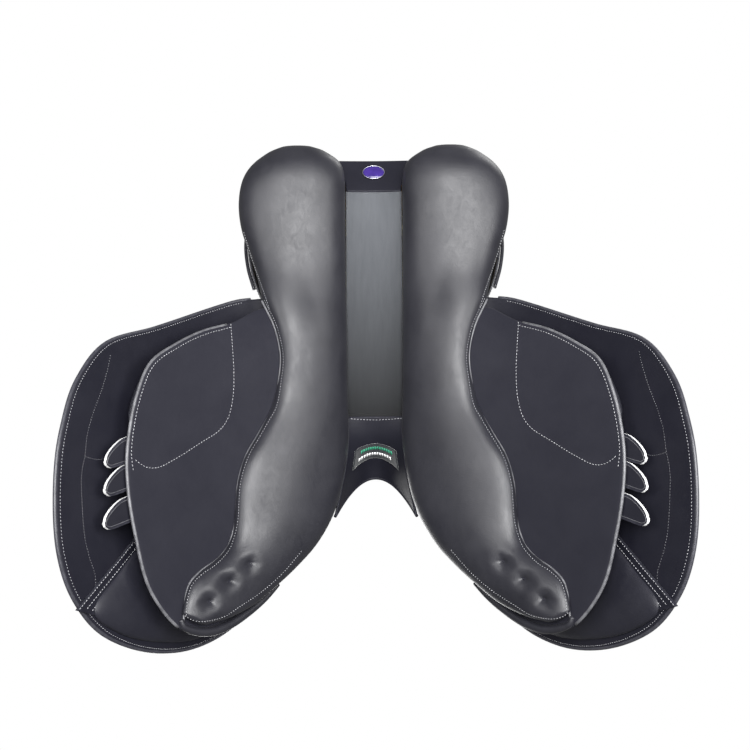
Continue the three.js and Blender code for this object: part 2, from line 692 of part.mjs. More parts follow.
// The strap follows the sweat flap, then runs straight to a rounded tip.
function girthStrap(rootY) {
  const lineY = (x) => rootY + STRAP_FORWARD_SLOPE * (x - STRAP_ROOT_X);
  const gap = LEATHER + 1.4;
  const frameAt = (x) => {
    const p = new THREE.Vector3(x, lineY(x), sweatSurface(x, lineY(x)));
    const ahead = new THREE.Vector3(x + 1, lineY(x + 1), sweatSurface(x + 1, lineY(x + 1)));
    const along = ahead.sub(p).normalize();
    const normal = liftedPoint(sweatSurface, x, lineY(x), 1).sub(p);
    const across = new THREE.Vector3().crossVectors(normal, along).normalize();
    return { p, along, across, normal: new THREE.Vector3().crossVectors(along, across) };
  };
  const stations = [];
  for (let i = 0; i <= 7; i += 1) {
    const x = STRAP_ROOT_X + (i / 7) * (STRAP_FLAT_FROM_X - STRAP_ROOT_X);
    stations.push({ ...frameAt(x), rear: STRAP_WIDTH / 2, front: STRAP_WIDTH / 2 });
  }
  const flat = frameAt(STRAP_FLAT_FROM_X);
  const tipShape = [[0.62, 13, 13], [0.75, 10, 13], [0.86, 5.5, 12.6], [0.94, 1, 11.4], [1, -4, 8.5]];
  for (const [part, rear, front] of tipShape) {
    const p = flat.p.clone().addScaledVector(flat.along, part * STRAP_FLAT_LENGTH);
    stations.push({ ...flat, p, rear, front });
  }
  const grid = (offset) => stations.map(({ p, across, normal, rear, front }) => [-front, rear].map(
    (side) => p.clone().addScaledVector(across, side).addScaledVector(normal, offset),
  ));
  return slab(grid(gap + STRAP_THICKNESS), grid(gap));
}

for (const [place, rootY] of Object.entries(STRAP_ROOTS)) {
  addPair(`girth_strap_${place}`, girthStrap(rootY), COLOURS.leather, 0.6);
}

// Webbing from the tree rail out over the panel shoulder to the strap heads.
function girthWeb(y, width) {
  const line = [[74, 11], [86, 8], [98, 1], [109, -9], [117, -20], [121, -27]];
  const grid = (offset) => [-0.5, 0.5].map((side) => line.map(([x, z]) => (
    new THREE.Vector3(x, y + side * width + STRAP_FORWARD_SLOPE * (x - STRAP_ROOT_X), z + offset))));
  return slab(grid(2), grid(0));
}

addPair('girth_web_rear', girthWeb(-46.5, 54), COLOURS.webbing, 0.9);
addPair('girth_web_front', girthWeb(-94, 26), COLOURS.webbing, 0.9);

// ---------- metalwork ----------

const BAR_FRONT = -118;
const BAR_REAR = -34;

// Stirrup bar: a back plate on the tree rail and a bar standing off it, joined in front.
const stirrupBar = fromManifold(
  box(80, 84, BAR_FRONT, BAR_REAR, 18.6, 30)
    .add(box(92, 97, BAR_FRONT, BAR_REAR - 6, 21, 30))
    .add(box(83, 97, BAR_FRONT, BAR_FRONT + 10, 21, 30)),
);
addPair('stirrup_bar', stirrupBar, COLOURS.steel, 0.35, 0.9);

// Thumb catch that closes the open end of the bar.
const barCatch = fromManifold(box(85.2, 97, BAR_REAR - 5, BAR_REAR, 21.5, 29.5));
addPair('bar_catch', barCatch, COLOURS.steel, 0.35, 0.9);

// A strip of leather folded round the straight side of a ring. The path runs along Y and Z.
function foldedTab(path, x0, x1, thickness) {
  const line = path.map(([y, z]) => new THREE.Vector3(0, y, z));
  const grid = (offset) => line.map((p, i) => {
    const before = line[Math.max(i - 1, 0)];
    const after = line[Math.min(i + 1, line.length - 1)];
    const along = after.clone().sub(before).normalize();
    const normal = new THREE.Vector3(0, -along.z, along.y);
    return [x0, x1].map((x) => new THREE.Vector3(x, p.y, p.z).addScaledVector(normal, offset));
  });
  return slab(grid(thickness / 2), grid(-thickness / 2));
}

// Arc of points round a centre in the YZ plane, in degrees from +Y towards +Z.
function arcPath(centreY, centreZ, radius, fromAngle, toAngle, count) {
  return Array.from({ length: count + 1 }, (_, i) => {
    const angle = THREE.MathUtils.degToRad(fromAngle + ((toAngle - fromAngle) * i) / count);
    return [centreY + radius * Math.cos(angle), centreZ + radius * Math.sin(angle)];
  });
}

// Ring with one straight side along X at the given point; the rest hangs below it.
function deeRing(x, y, z) {
  const half = 10;
  const path = [];
  for (let i = 0; i <= 3; i += 1) path.push(new THREE.Vector3(x - half + (i * 2 * half) / 3, y, z));
  for (let i = 0; i <= 8; i += 1) {
    const angle = (Math.PI * i) / 8;
    path.push(new THREE.Vector3(x + half * Math.cos(angle), y, z - 7 - 11 * Math.sin(angle)));
  }
  return roundBar(path, new THREE.Vector3(0, 1, 0), DEE_WIRE_RADIUS, 6, true);
}

const frontTabPath = [
  [-113, 43], [-125, 42.6], ...arcPath(FRONT_DEE.y, FRONT_DEE.z, TAB_LOOP_RADIUS, 90, 270, 6),
  [-127, 36.4], [-115, 36.8],
];
addPair('front_dee_tab', foldedTab(frontTabPath, FRONT_DEE.x - 6, FRONT_DEE.x + 6, 1.5),
  COLOURS.leather, 0.6);
addPair('front_dee', deeRing(FRONT_DEE.x, FRONT_DEE.y, FRONT_DEE.z), COLOURS.steel, 0.3, 0.9);

const rearTabPath = [
  [266.9, 116], [265.4, 100], ...arcPath(REAR_DEE.y, REAR_DEE.z, TAB_LOOP_RADIUS, 170, 370, 7),
  [272.5, 100], [272.7, 108],
];
addPair('rear_dee_tab', foldedTab(rearTabPath, REAR_DEE.x - 6, REAR_DEE.x + 6, 1.5),
  COLOURS.leather, 0.6);
addPair('rear_dee', deeRing(REAR_DEE.x, REAR_DEE.y, REAR_DEE.z), COLOURS.steel, 0.3, 0.9);

// Domed nail at the front corner of the skirt.
function saddleNail() {
  const foot = skirtTopPoint(-124, 0.35, 0);
  const alongU = skirtTopPoint(-124, 0.4, 0).sub(foot).normalize();
  const alongY = skirtTopPoint(-120, 0.35, 0).sub(foot).normalize();
  const normal = new THREE.Vector3().crossVectors(alongU, alongY).normalize();
  const side = new THREE.Vector3().crossVectors(normal, alongU);
  const circle = (radius, rise) => Array.from({ length: 14 }, (_, i) => {
    const angle = (2 * Math.PI * i) / 14;
    return foot.clone().addScaledVector(normal, rise)
      .addScaledVector(alongU, radius * Math.cos(angle))
      .addScaledVector(side, radius * Math.sin(angle));
  });
  const crown = foot.clone().addScaledVector(normal, 4.4);
  return ringSolid([circle(6, 1), circle(6, 2), circle(4.2, 3.7)], undefined, crown);
}

addPair('saddle_nail', saddleNail(), COLOURS.steel, 0.3, 0.9);

// Leather loop on the outer face of the flap that holds the end of a stirrup leather.
function leatherKeeper() {
  const grid = (offset) => Array.from({ length: 9 }, (_, i) => {
    const u = i / 4 - 1;
    const rise = FLAP_THICKNESS + CLEARANCE + 10 * (1 - u ** 4);
    return [-8, 8].map((side) => (
      liftedPoint(flapSurface, 258 + side, -45 + 30 * u, rise + offset)));
  });
  return slab(grid(2.2), grid(0));
}

addPair('leather_keeper', leatherKeeper(), COLOURS.leather, 0.55);

export default group;
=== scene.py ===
import math

import bpy
import numpy as np
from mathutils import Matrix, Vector
from mathutils.bvhtree import BVHTree


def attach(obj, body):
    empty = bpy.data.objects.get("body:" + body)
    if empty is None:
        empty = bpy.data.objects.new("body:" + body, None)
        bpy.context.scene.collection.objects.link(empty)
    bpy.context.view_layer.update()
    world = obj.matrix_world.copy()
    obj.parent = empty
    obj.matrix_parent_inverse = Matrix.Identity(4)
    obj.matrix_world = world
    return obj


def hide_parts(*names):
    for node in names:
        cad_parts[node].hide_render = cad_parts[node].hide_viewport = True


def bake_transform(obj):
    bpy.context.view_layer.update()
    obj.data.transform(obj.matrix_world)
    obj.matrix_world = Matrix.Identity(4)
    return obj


# English jumping saddle seen from underneath. Shapes are worked out in millimetres, in the CAD
# frame: +Z up, +Y to the cantle, +X the near (left) side. Left pieces are mirrored to the right.

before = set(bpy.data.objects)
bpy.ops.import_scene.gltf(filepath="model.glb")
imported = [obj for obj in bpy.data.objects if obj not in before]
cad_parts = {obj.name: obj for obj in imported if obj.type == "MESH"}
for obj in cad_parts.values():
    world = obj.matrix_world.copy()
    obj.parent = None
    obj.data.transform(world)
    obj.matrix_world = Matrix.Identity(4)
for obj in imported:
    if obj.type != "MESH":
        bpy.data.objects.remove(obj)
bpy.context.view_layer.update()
MM = 0.001

# ---------- driving dimensions, the same as the CAD ----------

FLAP_THICKNESS = 4
SWEAT_THICKNESS = 3
SKIRT_GAP = 5.2
SKIRT_THICKNESS = 3.4
CHANNEL_HALF_WIDTH = 34
COVER_THICKNESS = 2.4
HINGE_FRONT = np.array([98.0, -150.0, 20.0])
HINGE_REAR = np.array([136.0, 92.0, 16.0])
SEAT_CENTRE = (0, 60)
FLAP_CENTRE = (205, -105)
SWEAT_CENTRE = (172, -95)

SEAT_OUTLINE = [
    (0, -131), (33, -128), (53, -114), (64, -88), (73, -48), (86, -5), (106, 38), (129, 75),
    (144, 105), (152.5, 132), (157, 165), (152, 205), (132, 239), (96, 261), (45, 270), (0, 272),
]
PANEL_STATIONS = [
    (70, 274.8, 40, 115, 274.4, 37.5, 13, 11),
    (57, 269.5, 40, 130, 267, 36, 21, 18),
    (40, 256, 40, 147, 253, 34, 30, 25),
    (35, 236, 38, 158, 235, 31, 35, 29),
    (34.8, 207, 36, 162.5, 207, 27, 35, 29),
    (34.8, 176, 35, 159, 176, 23, 33, 24),
    (34.8, 148, 33, 149.5, 148, 17, 31, 18),
    (35, 118, 30, 139, 118, 8, 28, 12),
    (35.3, 88, 27, 131, 88, -7, 26, 9),
    (35.6, 55, 24, 117, 55, -19, 24, 9),
    (35.8, 23, 22, 110, 23, -26, 22, 9),
    (35.6, -6, 21, 112, -6, -31, 21, 9),
    (35, -35, 20, 118, -35, -38, 21, 9),
    (34.3, -62, 18, 133, -66, -53, 22, 9),
    (35.5, -90, 14, 147, -92, -67, 22, 8),
    (39, -115, 8, 154, -120, -77, 22, 8),
    (45, -143, 0, 156, -150, -82, 22, 8),
    (56, -171, -10, 158, -173, -87, 22, 8),
    (72, -197, -26, 165, -190, -96, 20, 8),
    (92, -218, -44, 176, -201, -109, 18, 7),
    (113, -236, -63, 188, -209, -123, 16, 6),
    (136, -253, -86, 198, -220, -137, 14, 5),
    (160, -262, -114, 202, -234, -146, 11, 4),
    (181, -264, -138, 204, -248, -151, 7, 3),
]
FLAP_OUTLINE = [
    (137, 92), (160, 89), (185, 80), (243, 54), (284, 36), (305, -2), (313, -50), (315.5, -110),
    (311, -175), (299, -222), (277, -263), (240, -293), (204, -302), (168, -291), (135, -254),
    (110, -205), (99, -152),
]
SKIRT_OUTLINE = [
    (143, 58), (151, 52), (160, 26), (170, -8), (178, -48), (175, -88), (158, -122), (132, -139),
    (110, -139),
]
SWEAT_OUTLINE = [
    (163, 61), (192, 51), (218, 35), (238, 17), (250, -20), (256, -75), (254, -115), (246, -165),
    (232, -222), (206, -266), (188, -278), (172, -280), (150, -268), (120, -240), (89, -209),
    (83, -179), (84, -140), (94, -106), (114, -80), (117, -52), (111, -33), (105, -6),
    (105, 23), (112, 53), (127, 79),
]
KNEE_PAD_OUTLINE = [
    (248, -178), (270, -205), (287, -236), (266, -266), (238, -284), (204, -293), (174, -284),
    (158, -258), (172, -232), (210, -198),
]
KNEE_BLOCK_OUTLINE = [
    (124, -150), (160, -158), (203, -178), (228, -190), (231, -204), (218, -230), (200, -251),
    (180, -240), (150, -208), (122, -174),
]
THIGH_BLOCK_OUTLINE = [
    (165, 50), (200, 44), (231, 21), (248, -12), (252, -48), (239, -54), (224, -38), (208, -8),
    (180, 22),
]
TUFTS = [(178.5, -240), (159.5, -222), (139.5, -206)]
STRAP_ROOTS = {"rear": -32, "middle": -60.5, "front": -94}
STRAP_ROOT_X = 123
STRAP_FLAT_FROM_X = 225
STRAP_SLOPE = -0.33
STRAP_FLAT_LENGTH = 74
STRAP_GAP = 4.4
STRAP_THICKNESS = 4.0
STRAP_HALF_WIDTH = 13
STRAP_HOLE_SPACING = 22
WEB_SIZES = (("rear", -46.5, 54), ("front", -94, 26))
DEE_PLACES = (("front", 66, -138, 39.6), ("rear", 62, 268.9, 94))

PANEL_SEAM = [
    (132, 88), (116, 55), (109, 23), (111, -6), (116, -35), (124, -50), (135, -70), (144, -86),
    (150, -103), (154, -122), (155, -140), (156, -160), (159, -175), (164, -189), (175, -201),
    (188, -209), (198, -219), (202, -232), (203, -247), (204, -258),
]
PATCH_LINE = [
    (164, 60), (161, 32), (159, 3), (160, -26), (165, -48), (173, -60), (193, -74), (214, -88),
    (230, -96), (239, -95), (247, -89), (251, -84),
]
FLAP_LINES = [
    [(281, 24), (283, 8), (287, -15), (292, -38), (295, -58), (296, -79), (298, -98), (297, -128),
     (294, -163), (290, -184), (286, -200), (285, -214)],
    [(296, -81), (286, -85), (275, -83), (262, -76)],
]
BAND_START = np.array([232.0, -150.0])
BAND_END = np.array([293.0, -236.0])
BULB_SEAM = [(155, 172), (147, 145), (138, 120), (128, 94), (122, 76)]
LIP_LINE = [
    (206, -256), (203, -264), (191, -272), (177, -275), (162, -272), (146, -264), (128, -252),
    (112, -238),
]
LIP_RADIUS = 5.4
FRONT_SEAM = [
    (204, -250), (193, -257), (180, -259.5), (164, -258), (148, -250), (128, -239), (106, -222),
    (84, -198),
]

# The rear facing starts behind the channel lining and slopes up to the bulbs.
REAR_FACING_Y = 225
REAR_FACING_RUN = 39.5
REAR_FACING_RISE = 19.5
REAR_FACING_CROWN = 2.5
REAR_FACING_OUT = np.array([0, 0.52, -0.854])
BADGE_PLACE = 0.6

# The skirt is joined to its root outside the fold line, and eases into the flap's curve.
SKIRT_JOIN = 6.5
SKIRT_EASE = 16
SKIRT_TOP = SKIRT_GAP + SKIRT_THICKNESS + 0.6
SKIRT_ROOT_RISE = 14.5

# Points round a panel's section and along it, before and after the cloth run.
SECTION_POINTS = 56
STATION_COUNT = 132
FINE_SECTION_POINTS = 150

CLOTH_FRAMES = 20
CAMERA_DISTANCE = 1.4
VIEW_WIDTH = 0.885
FLOOR_HALF = 9000
FLOOR_Z = -2300

# ---------- curves ----------

def unit(vectors):
    """Vectors scaled to length one."""
    return vectors / np.linalg.norm(vectors, axis=-1, keepdims=True)


def hermite(t, start, start_slope, end, end_slope):
    """Cubic from start to end as t goes from 0 to 1."""
    return ((2 * t ** 3 - 3 * t ** 2 + 1) * start + (t ** 3 - 2 * t ** 2 + t) * start_slope
            + (3 * t ** 2 - 2 * t ** 3) * end + (t ** 3 - t ** 2) * end_slope)


def profile(pairs):
    """Smooth function through (position, value) pairs."""
    at_knots, values = np.array(pairs, float).T
    slopes = np.empty_like(values)
    slopes[1:-1] = (values[2:] - values[:-2]) / (at_knots[2:] - at_knots[:-2])
    slopes[0] = (values[1] - values[0]) / (at_knots[1] - at_knots[0])
    slopes[-1] = (values[-1] - values[-2]) / (at_knots[-1] - at_knots[-2])

    def value(at):
        at = np.clip(np.asarray(at, float), at_knots[0], at_knots[-1])
        i = np.clip(np.searchsorted(at_knots, at) - 1, 0, len(values) - 2)
        width = at_knots[i + 1] - at_knots[i]
        t = (at - at_knots[i]) / width
        return hermite(t, values[i], width * slopes[i], values[i + 1], width * slopes[i + 1])
    return value


def smoothstep(start, end, at):
    t = np.clip((np.asarray(at, float) - start) / (end - start), 0, 1)
    return t * t * (3 - 2 * t)


def evenly(points, count):
    """count points at equal distances along a polyline."""
    points = np.asarray(points, float)
    run = np.concatenate([[0], np.cumsum(np.linalg.norm(np.diff(points, axis=0), axis=1))])
    at = np.linspace(0, run[-1], count)
    return np.stack([np.interp(at, run, column) for column in points.T], axis=1)


def smooth_line(points, count, closed=False):
    """Centripetal Catmull-Rom curve through points; a closed one leaves out its repeated end."""
    p = np.array(points, float)
    if closed:
        p = np.vstack([p[-1:], p, p[:2]])
    else:
        p = np.vstack([2 * p[:1] - p[1:2], p, 2 * p[-1:] - p[-2:-1]])
    t = np.linspace(0, 1, 24, endpoint=False)[:, None]
    line = []
    for a, b, c, d in zip(p[:-3], p[1:-2], p[2:-1], p[3:]):
        gaps = [max(np.linalg.norm(v), 1e-6) ** 0.5 for v in (b - a, c - b, d - c)]
        start = gaps[1] * ((b - a) / gaps[0] - (c - a) / (gaps[0] + gaps[1]) + (c - b) / gaps[1])
        end = gaps[1] * ((c - b) / gaps[1] - (d - b) / (gaps[1] + gaps[2]) + (d - c) / gaps[2])
        line.append(hermite(t, b, start, c, end))
    line.append(p[-2:-1])
    line = np.vstack(line)
    return evenly(line, count + 1)[:-1] if closed else evenly(line, count)


def scaled(outline, centre, scale):
    """A plan outline scaled about a centre."""
    centre = np.asarray(centre, float)
    return centre + scale * (outline - centre)


def symmetric(half):
    """Both halves of an outline that is symmetric about the middle plane."""
    return half + [(-x, y) for x, y in reversed(half[1:-1])]


# ---------- surfaces ----------

seat_height = profile([
    (-150, 108), (-120, 106), (-80, 88), (-40, 74), (0, 66), (45, 62), (85, 65), (120, 73),
    (160, 90), (200, 114), (240, 142), (272, 160),
])
seat_crown = profile([
    (-150, -0.0085), (-110, -0.0075), (-70, -0.005), (-40, -0.0039), (0, -0.0032), (40, -0.002),
    (80, -0.0008), (120, -0.0003), (160, 0), (200, 0.0002), (272, 0.0002),
])
wall_depth = profile([
    (-150, 34), (-120, 24), (-90, 13), (-50, 8), (0, 6), (50, 8), (85, 11), (120, 20),
    (160, 32), (200, 46), (240, 68), (272, 82),
])
lining_height = profile([
    (-50, 26), (0, 25), (50, 26.5), (100, 31), (150, 38), (200, 46), (224, 50),
])
seat_half_width = profile([(y, x) for x, y in SEAT_OUTLINE if -130 < y < 150])


def seat_top(x, y):
    return seat_height(y) + seat_crown(y) * x * x


def fold_at(y):
    """x and z of the line the flap and skirt fold about."""
    run = HINGE_REAR - HINGE_FRONT
    t = (np.asarray(y, float) - HINGE_FRONT[1]) / run[1]
    return HINGE_FRONT[0] + t * run[0], HINGE_FRONT[2] + t * run[2]


def flap_surface(x, y):
    """Underside of the flap, with its fixed root inside the fold line."""
    def drop(r):
        return 82 - (0.98 - 0.0008 * y) * (r - 88) - 0.0013 * (r - 88) ** 2 + 14 * smoothstep(-80, 20, y)
    fold_x, fold_z = fold_at(y)
    outside = drop(x) + (fold_z - drop(fold_x)) * np.exp(-np.maximum(x - fold_x, 0) / 40)
    root = fold_z + (fold_z - 14.2) * (x - fold_x) / 30
    return np.where(x > fold_x, outside, root)


def sweat_surface(x, y):
    return 0.0035 * np.maximum(0, y) ** 2 - (0.5 - 0.0012 * y) * (x - 60) - 0.0015 * (x - 60) ** 2


def lifted(height, x, y, offset):
    """Points of a height surface moved along its normal."""
    x, y = np.asarray(x, float), np.asarray(y, float)
    slope_x = height(x + 0.5, y) - height(x - 0.5, y)
    slope_y = height(x, y + 0.5) - height(x, y - 0.5)
    normal = unit(np.stack([-slope_x, -slope_y, np.ones_like(slope_x)], axis=-1))
    return np.stack([x, y, height(x, y)], axis=-1) + normal * np.asarray(offset, float)[..., None]


def plan_ring(outline, centre, height, share, offset):
    """An outline drawn in to a share of its size, at an offset from a height surface."""
    return lifted(height, *scaled(outline, centre, share).T, offset)


# ---------- meshes ----------

def new_mesh(name, vertices, faces):
    """Blender mesh, in metres, from points in millimetres."""
    mesh = bpy.data.meshes.new(name)
    mesh.from_pydata((np.asarray(vertices) * MM).tolist(), [], [list(map(int, f)) for f in faces])
    return mesh


def new_object(name, data):
    made = bpy.data.objects.new(name, data)
    bpy.context.scene.collection.objects.link(made)
    return made


def outward(vertices, faces):
    """Faces of a closed body, turned to face outwards."""
    vertices = np.asarray(vertices, float)
    volume = 0
    for face in faces:
        a = vertices[face[0]]
        for i in range(1, len(face) - 1):
            volume += a @ np.cross(vertices[face[i]], vertices[face[i + 1]])
    return faces if volume > 0 else [list(reversed(face)) for face in faces]


def ring_body(rings):
    """Closed body through rings of points, with a fan over the first and the last ring."""
    rings = np.asarray(rings, float)
    ring_count, count = rings.shape[:2]
    vertices = np.vstack([rings.reshape(-1, 3), rings[0].mean(axis=0), rings[-1].mean(axis=0)])
    start, end = len(vertices) - 2, len(vertices) - 1
    faces = []
    for i in range(count):
        j = (i + 1) % count
        faces.append([start, j, i])
        faces.append([end, (ring_count - 1) * count + i, (ring_count - 1) * count + j])
        for r in range(ring_count - 1):
            faces.append([r * count + i, r * count + j, (r + 1) * count + j, (r + 1) * count + i])
    return vertices, outward(vertices, faces)


def slab(upper, lower):
    """Closed plate between two grids of points."""
    upper, lower = np.asarray(upper, float), np.asarray(lower, float)
    rows, columns = upper.shape[:2]
    offset = rows * columns
    faces = []
    for r in range(rows - 1):
        for c in range(columns - 1):
            a = r * columns + c
            b, d, e = a + 1, a + columns + 1, a + columns
            faces += [[a, b, d, e], [offset + a, offset + e, offset + d, offset + b]]
    rim = list(range(columns)) + [r * columns + columns - 1 for r in range(1, rows)]
    rim += [(rows - 1) * columns + c for c in range(columns - 2, -1, -1)]
    rim += [r * columns for r in range(rows - 2, 0, -1)]
    for i, a in enumerate(rim):
        b = rim[(i + 1) % len(rim)]
        faces.append([b, a, offset + a, offset + b])
    vertices = np.vstack([upper.reshape(-1, 3), lower.reshape(-1, 3)])
    return vertices, outward(vertices, faces)


def sheet(outline, centre, height, lower, upper, ring_count, rim=1.0):
    """Leather over a plan outline, between two offsets from a height surface, with a round edge.
    Each offset is a function of the share of the way out from the centre."""
    def ring(s, offset):
        return plan_ring(outline, centre, height, s, offset)
    shares = [i / ring_count for i in range(1, ring_count)] + [1 - rim / 110, 1 - 0.3 * rim / 110]
    rings = [ring(0.01, upper(0))]
    rings += [ring(s, upper(s)) for s in shares[:-1]]
    thickness = upper(1) - lower(1)
    rings += [ring(shares[-1], upper(1) - 0.15 * thickness), ring(1, upper(1) - 0.35 * thickness),
              ring(1, lower(1) + 0.35 * thickness), ring(shares[-1], lower(1) + 0.15 * thickness)]
    rings += [ring(s, lower(s)) for s in reversed(shares[:-1])]
    rings.append(ring(0.01, lower(0)))
    return ring_body(rings)


def tube(path, radius, sides=10, upright=(0, 0, 1), width=1.0, closed=False):
    """Round cord along a path; width widens it across."""
    path = np.asarray(path, float)
    if closed:
        along = np.roll(path, -1, axis=0) - np.roll(path, 1, axis=0)
    else:
        along = np.gradient(path, axis=0)
    along = unit(along)
    across = np.cross(along, np.asarray(upright, float))
    across /= np.maximum(np.linalg.norm(across, axis=1, keepdims=True), 1e-9)
    over = np.cross(across, along)
    angles = np.linspace(0, 2 * math.pi, sides, endpoint=False)
    rings = (path[:, None] + radius * width * np.cos(angles)[None, :, None] * across[:, None]
             + radius * np.sin(angles)[None, :, None] * over[:, None])
    if not closed:
        return ring_body(rings)
    faces = []
    count = len(rings)
    for r in range(count):
        for i in range(sides):
            j, n = (i + 1) % sides, (r + 1) % count
            faces.append([r * sides + i, r * sides + j, n * sides + j, n * sides + i])
    vertices = rings.reshape(-1, 3)
    return vertices, outward(vertices, faces)


def joined(parts):
    vertices, faces, offset = [], [], 0
    for part_vertices, part_faces in parts:
        vertices.append(part_vertices)
        faces += [[offset + i for i in face] for face in part_faces]
        offset += len(part_vertices)
    return np.vstack(vertices), faces


def add_piece(name, body_mesh, material, body="saddle", stands_for=(), smooth=True):
    mesh = new_mesh(name, *body_mesh)
    mesh.polygons.foreach_set("use_smooth", [smooth] * len(mesh.polygons))
    mesh.materials.append(material)
    mesh.update()
    piece = new_object(name, mesh)
    if stands_for:
        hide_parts(*stands_for)
    if body:
        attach(piece, body)
    return piece


def add_pair(name, body_mesh, material, body="saddle", stands_for=(), smooth=True):
    """The left piece and its mirror image; sided body and node names get their own ending."""
    vertices, faces = body_mesh
    pieces = []
    for side, sign in (("left", 1), ("right", -1)):
        points = np.asarray(vertices) * (sign, 1, 1)
        turned = faces if sign > 0 else [list(reversed(face)) for face in faces]
        side_body = body if body in ("saddle", None) else f"{body}_{side}"
        nodes = [f"{node}_{side}" for node in stands_for]
        pieces.append(add_piece(f"{name}_{side}", (points, turned), material, side_body, nodes, smooth))
    return pieces


def resampled(grid, at, closed):
    """Rows of a grid of points at fractional row positions, along smooth curves."""
    first = np.floor(at).astype(int)
    t = (at - first).reshape(-1, 1, 1)

    def row(i):
        return grid[i % len(grid)] if closed else grid[np.clip(i, 0, len(grid) - 1)]
    a, b, c, d = (row(first + step) for step in (-1, 0, 1, 2))
    return 0.5 * (2 * b + (c - a) * t + (2 * a - 5 * b + 4 * c - d) * t ** 2
                  + (3 * b - a - 3 * c + d) * t ** 3)


def second_material(piece, material, faces):
    """Gives the chosen faces of a piece another material."""
    piece.data.materials.append(material)
    for face in faces:
        piece.data.polygons[face].material_index = 1


def drilled(piece, centres, directions, radius, depth):
    """Cuts round holes through a piece."""
    cutters = []
    for centre, direction in zip(centres, directions):
        direction = np.asarray(direction, float)
        side = np.cross(direction, (0.3, 1, 0.2))
        cutters.append(tube([centre - depth * direction, centre + depth * direction], radius, 16, side))
    punch = new_object("punch", new_mesh("punch", *joined(cutters)))
    cut = piece.modifiers.new("holes", "BOOLEAN")
    cut.operation = "DIFFERENCE"
    cut.solver = "EXACT"
    cut.object = punch
    graph = bpy.context.evaluated_depsgraph_get()
    holed = bpy.data.meshes.new_from_object(piece.evaluated_get(graph))
    piece.modifiers.clear()
    piece.data = holed
    bpy.data.objects.remove(punch)


def surface_of(body_mesh):
    vertices, faces = body_mesh
    return BVHTree.FromPolygons(np.asarray(vertices).tolist(), [list(map(int, f)) for f in faces])


def laid(path, surface, from_below=True):
    """Points and normals where a plan path lies on a surface, seen from below or above."""
    points, normals = [], []
    direction = Vector((0, 0, 1 if from_below else -1))
    for x, y in path:
        hit, normal, _, _ = surface.ray_cast(Vector((x, y, -600 if from_below else 600)), direction)
        if hit is not None:
            if normal.dot(direction) > 0:
                normal.negate()
            points.append(hit)
            normals.append(normal)
    return np.array(points).reshape(-1, 3), np.array(normals).reshape(-1, 3)


def stitch_row(points, normals, length=2.5, gap=1.3, radius=0.34):
    """Thread stitches end to end along a line on a surface, each one sunk at its ends."""
    run = np.concatenate([[0], np.cumsum(np.linalg.norm(np.diff(points, axis=0), axis=1))])
    count = int(run[-1] // (length + gap))
    if count < 1:
        return np.zeros((0, 3)), []
    starts = np.arange(count) * (length + gap) + gap / 2

    def at(position, values):
        return np.stack([np.interp(position, run, column) for column in values.T], axis=1)
    head, tail = at(starts, points), at(starts + length, points)
    normal = unit(at(starts + length / 2, normals))
    along = unit(tail - head)
    across = np.cross(normal, along)
    along = along + 0.09 * across
    sides = 6
    stations = [(-0.5, 0.25, -0.3), (-0.34, 0.9, 0.1), (0, 1.05, 0.28), (0.34, 0.9, 0.1), (0.5, 0.25, -0.3)]
    middle = (head + tail) / 2
    rings = []
    for share, thickness, lift in stations:
        centre = middle + along * share * length + normal * lift
        for k in range(sides):
            angle = 2 * math.pi * k / sides
            rings.append(centre + radius * thickness * (across * math.cos(angle) + normal * math.sin(angle)))
    vertices = np.stack(rings, axis=1).reshape(-1, 3)
    per = sides * len(stations)
    pattern = []
    for r in range(len(stations) - 1):
        for k in range(sides):
            j = (k + 1) % sides
            pattern.append([r * sides + k, r * sides + j, (r + 1) * sides + j, (r + 1) * sides + k])
    pattern.append(list(range(sides - 1, -1, -1)))
    pattern.append(list(range(per - sides, per)))
    faces = [[n * per + i for i in face] for n in range(count) for face in pattern]
    return vertices, faces


def stitches_on(surface, paths, spacing=2.0, **kind):
    """Stitch rows for several plan paths on one surface."""
    rows = []
    for path in paths:
        length = np.linalg.norm(np.diff(np.asarray(path, float), axis=0), axis=1).sum()
        line = smooth_line(path, max(int(length / spacing), 4))
        points, normals = laid(line, surface)
        if len(points) > 2:
            rows.append(stitch_row(points, normals, **kind))
    return joined(rows)


def parallel(path, distance):
    """A plan path moved sideways, to its left where distance is positive."""
    path = np.asarray(path, float)
    along = unit(np.gradient(path, axis=0))
    return path + distance * np.stack([-along[:, 1], along[:, 0]], axis=1)


def inflated(body_mesh, held, pressure, cap):
    """The body after a cloth run with air pressure. Held points stay, no point moves over cap."""
    vertices, faces = body_mesh
    scene = bpy.context.scene
    body = new_object("padding", new_mesh("padding", vertices, faces))
    group = body.vertex_groups.new(name="held")
    group.add(np.flatnonzero(held).tolist(), 1.0, "REPLACE")
    cloth = body.modifiers.new("cloth", "CLOTH")
    settings = cloth.settings
    settings.quality = 5
    settings.mass = 0.3
    settings.tension_stiffness = settings.compression_stiffness = 25
    settings.shear_stiffness = 12
    settings.bending_stiffness = 0.8
    settings.vertex_group_mass = "held"
    settings.use_pressure = True
    settings.uniform_pressure_force = pressure
    settings.effector_weights.gravity = 0
    cloth.collision_settings.use_collision = False
    cloth.point_cache.frame_start = 1
    cloth.point_cache.frame_end = CLOTH_FRAMES
    for step in range(1, CLOTH_FRAMES + 1):
        scene.frame_set(step)
    graph = bpy.context.evaluated_depsgraph_get()
    moved = np.empty(len(vertices) * 3)
    body.evaluated_get(graph).data.vertices.foreach_get("co", moved)
    move = moved.reshape(-1, 3) / MM - vertices
    distance = np.linalg.norm(move, axis=1, keepdims=True)
    bpy.data.objects.remove(body)
    scene.frame_set(1)
    return vertices + move * np.minimum(1, cap / np.maximum(distance, 1e-9))


# ---------- materials ----------

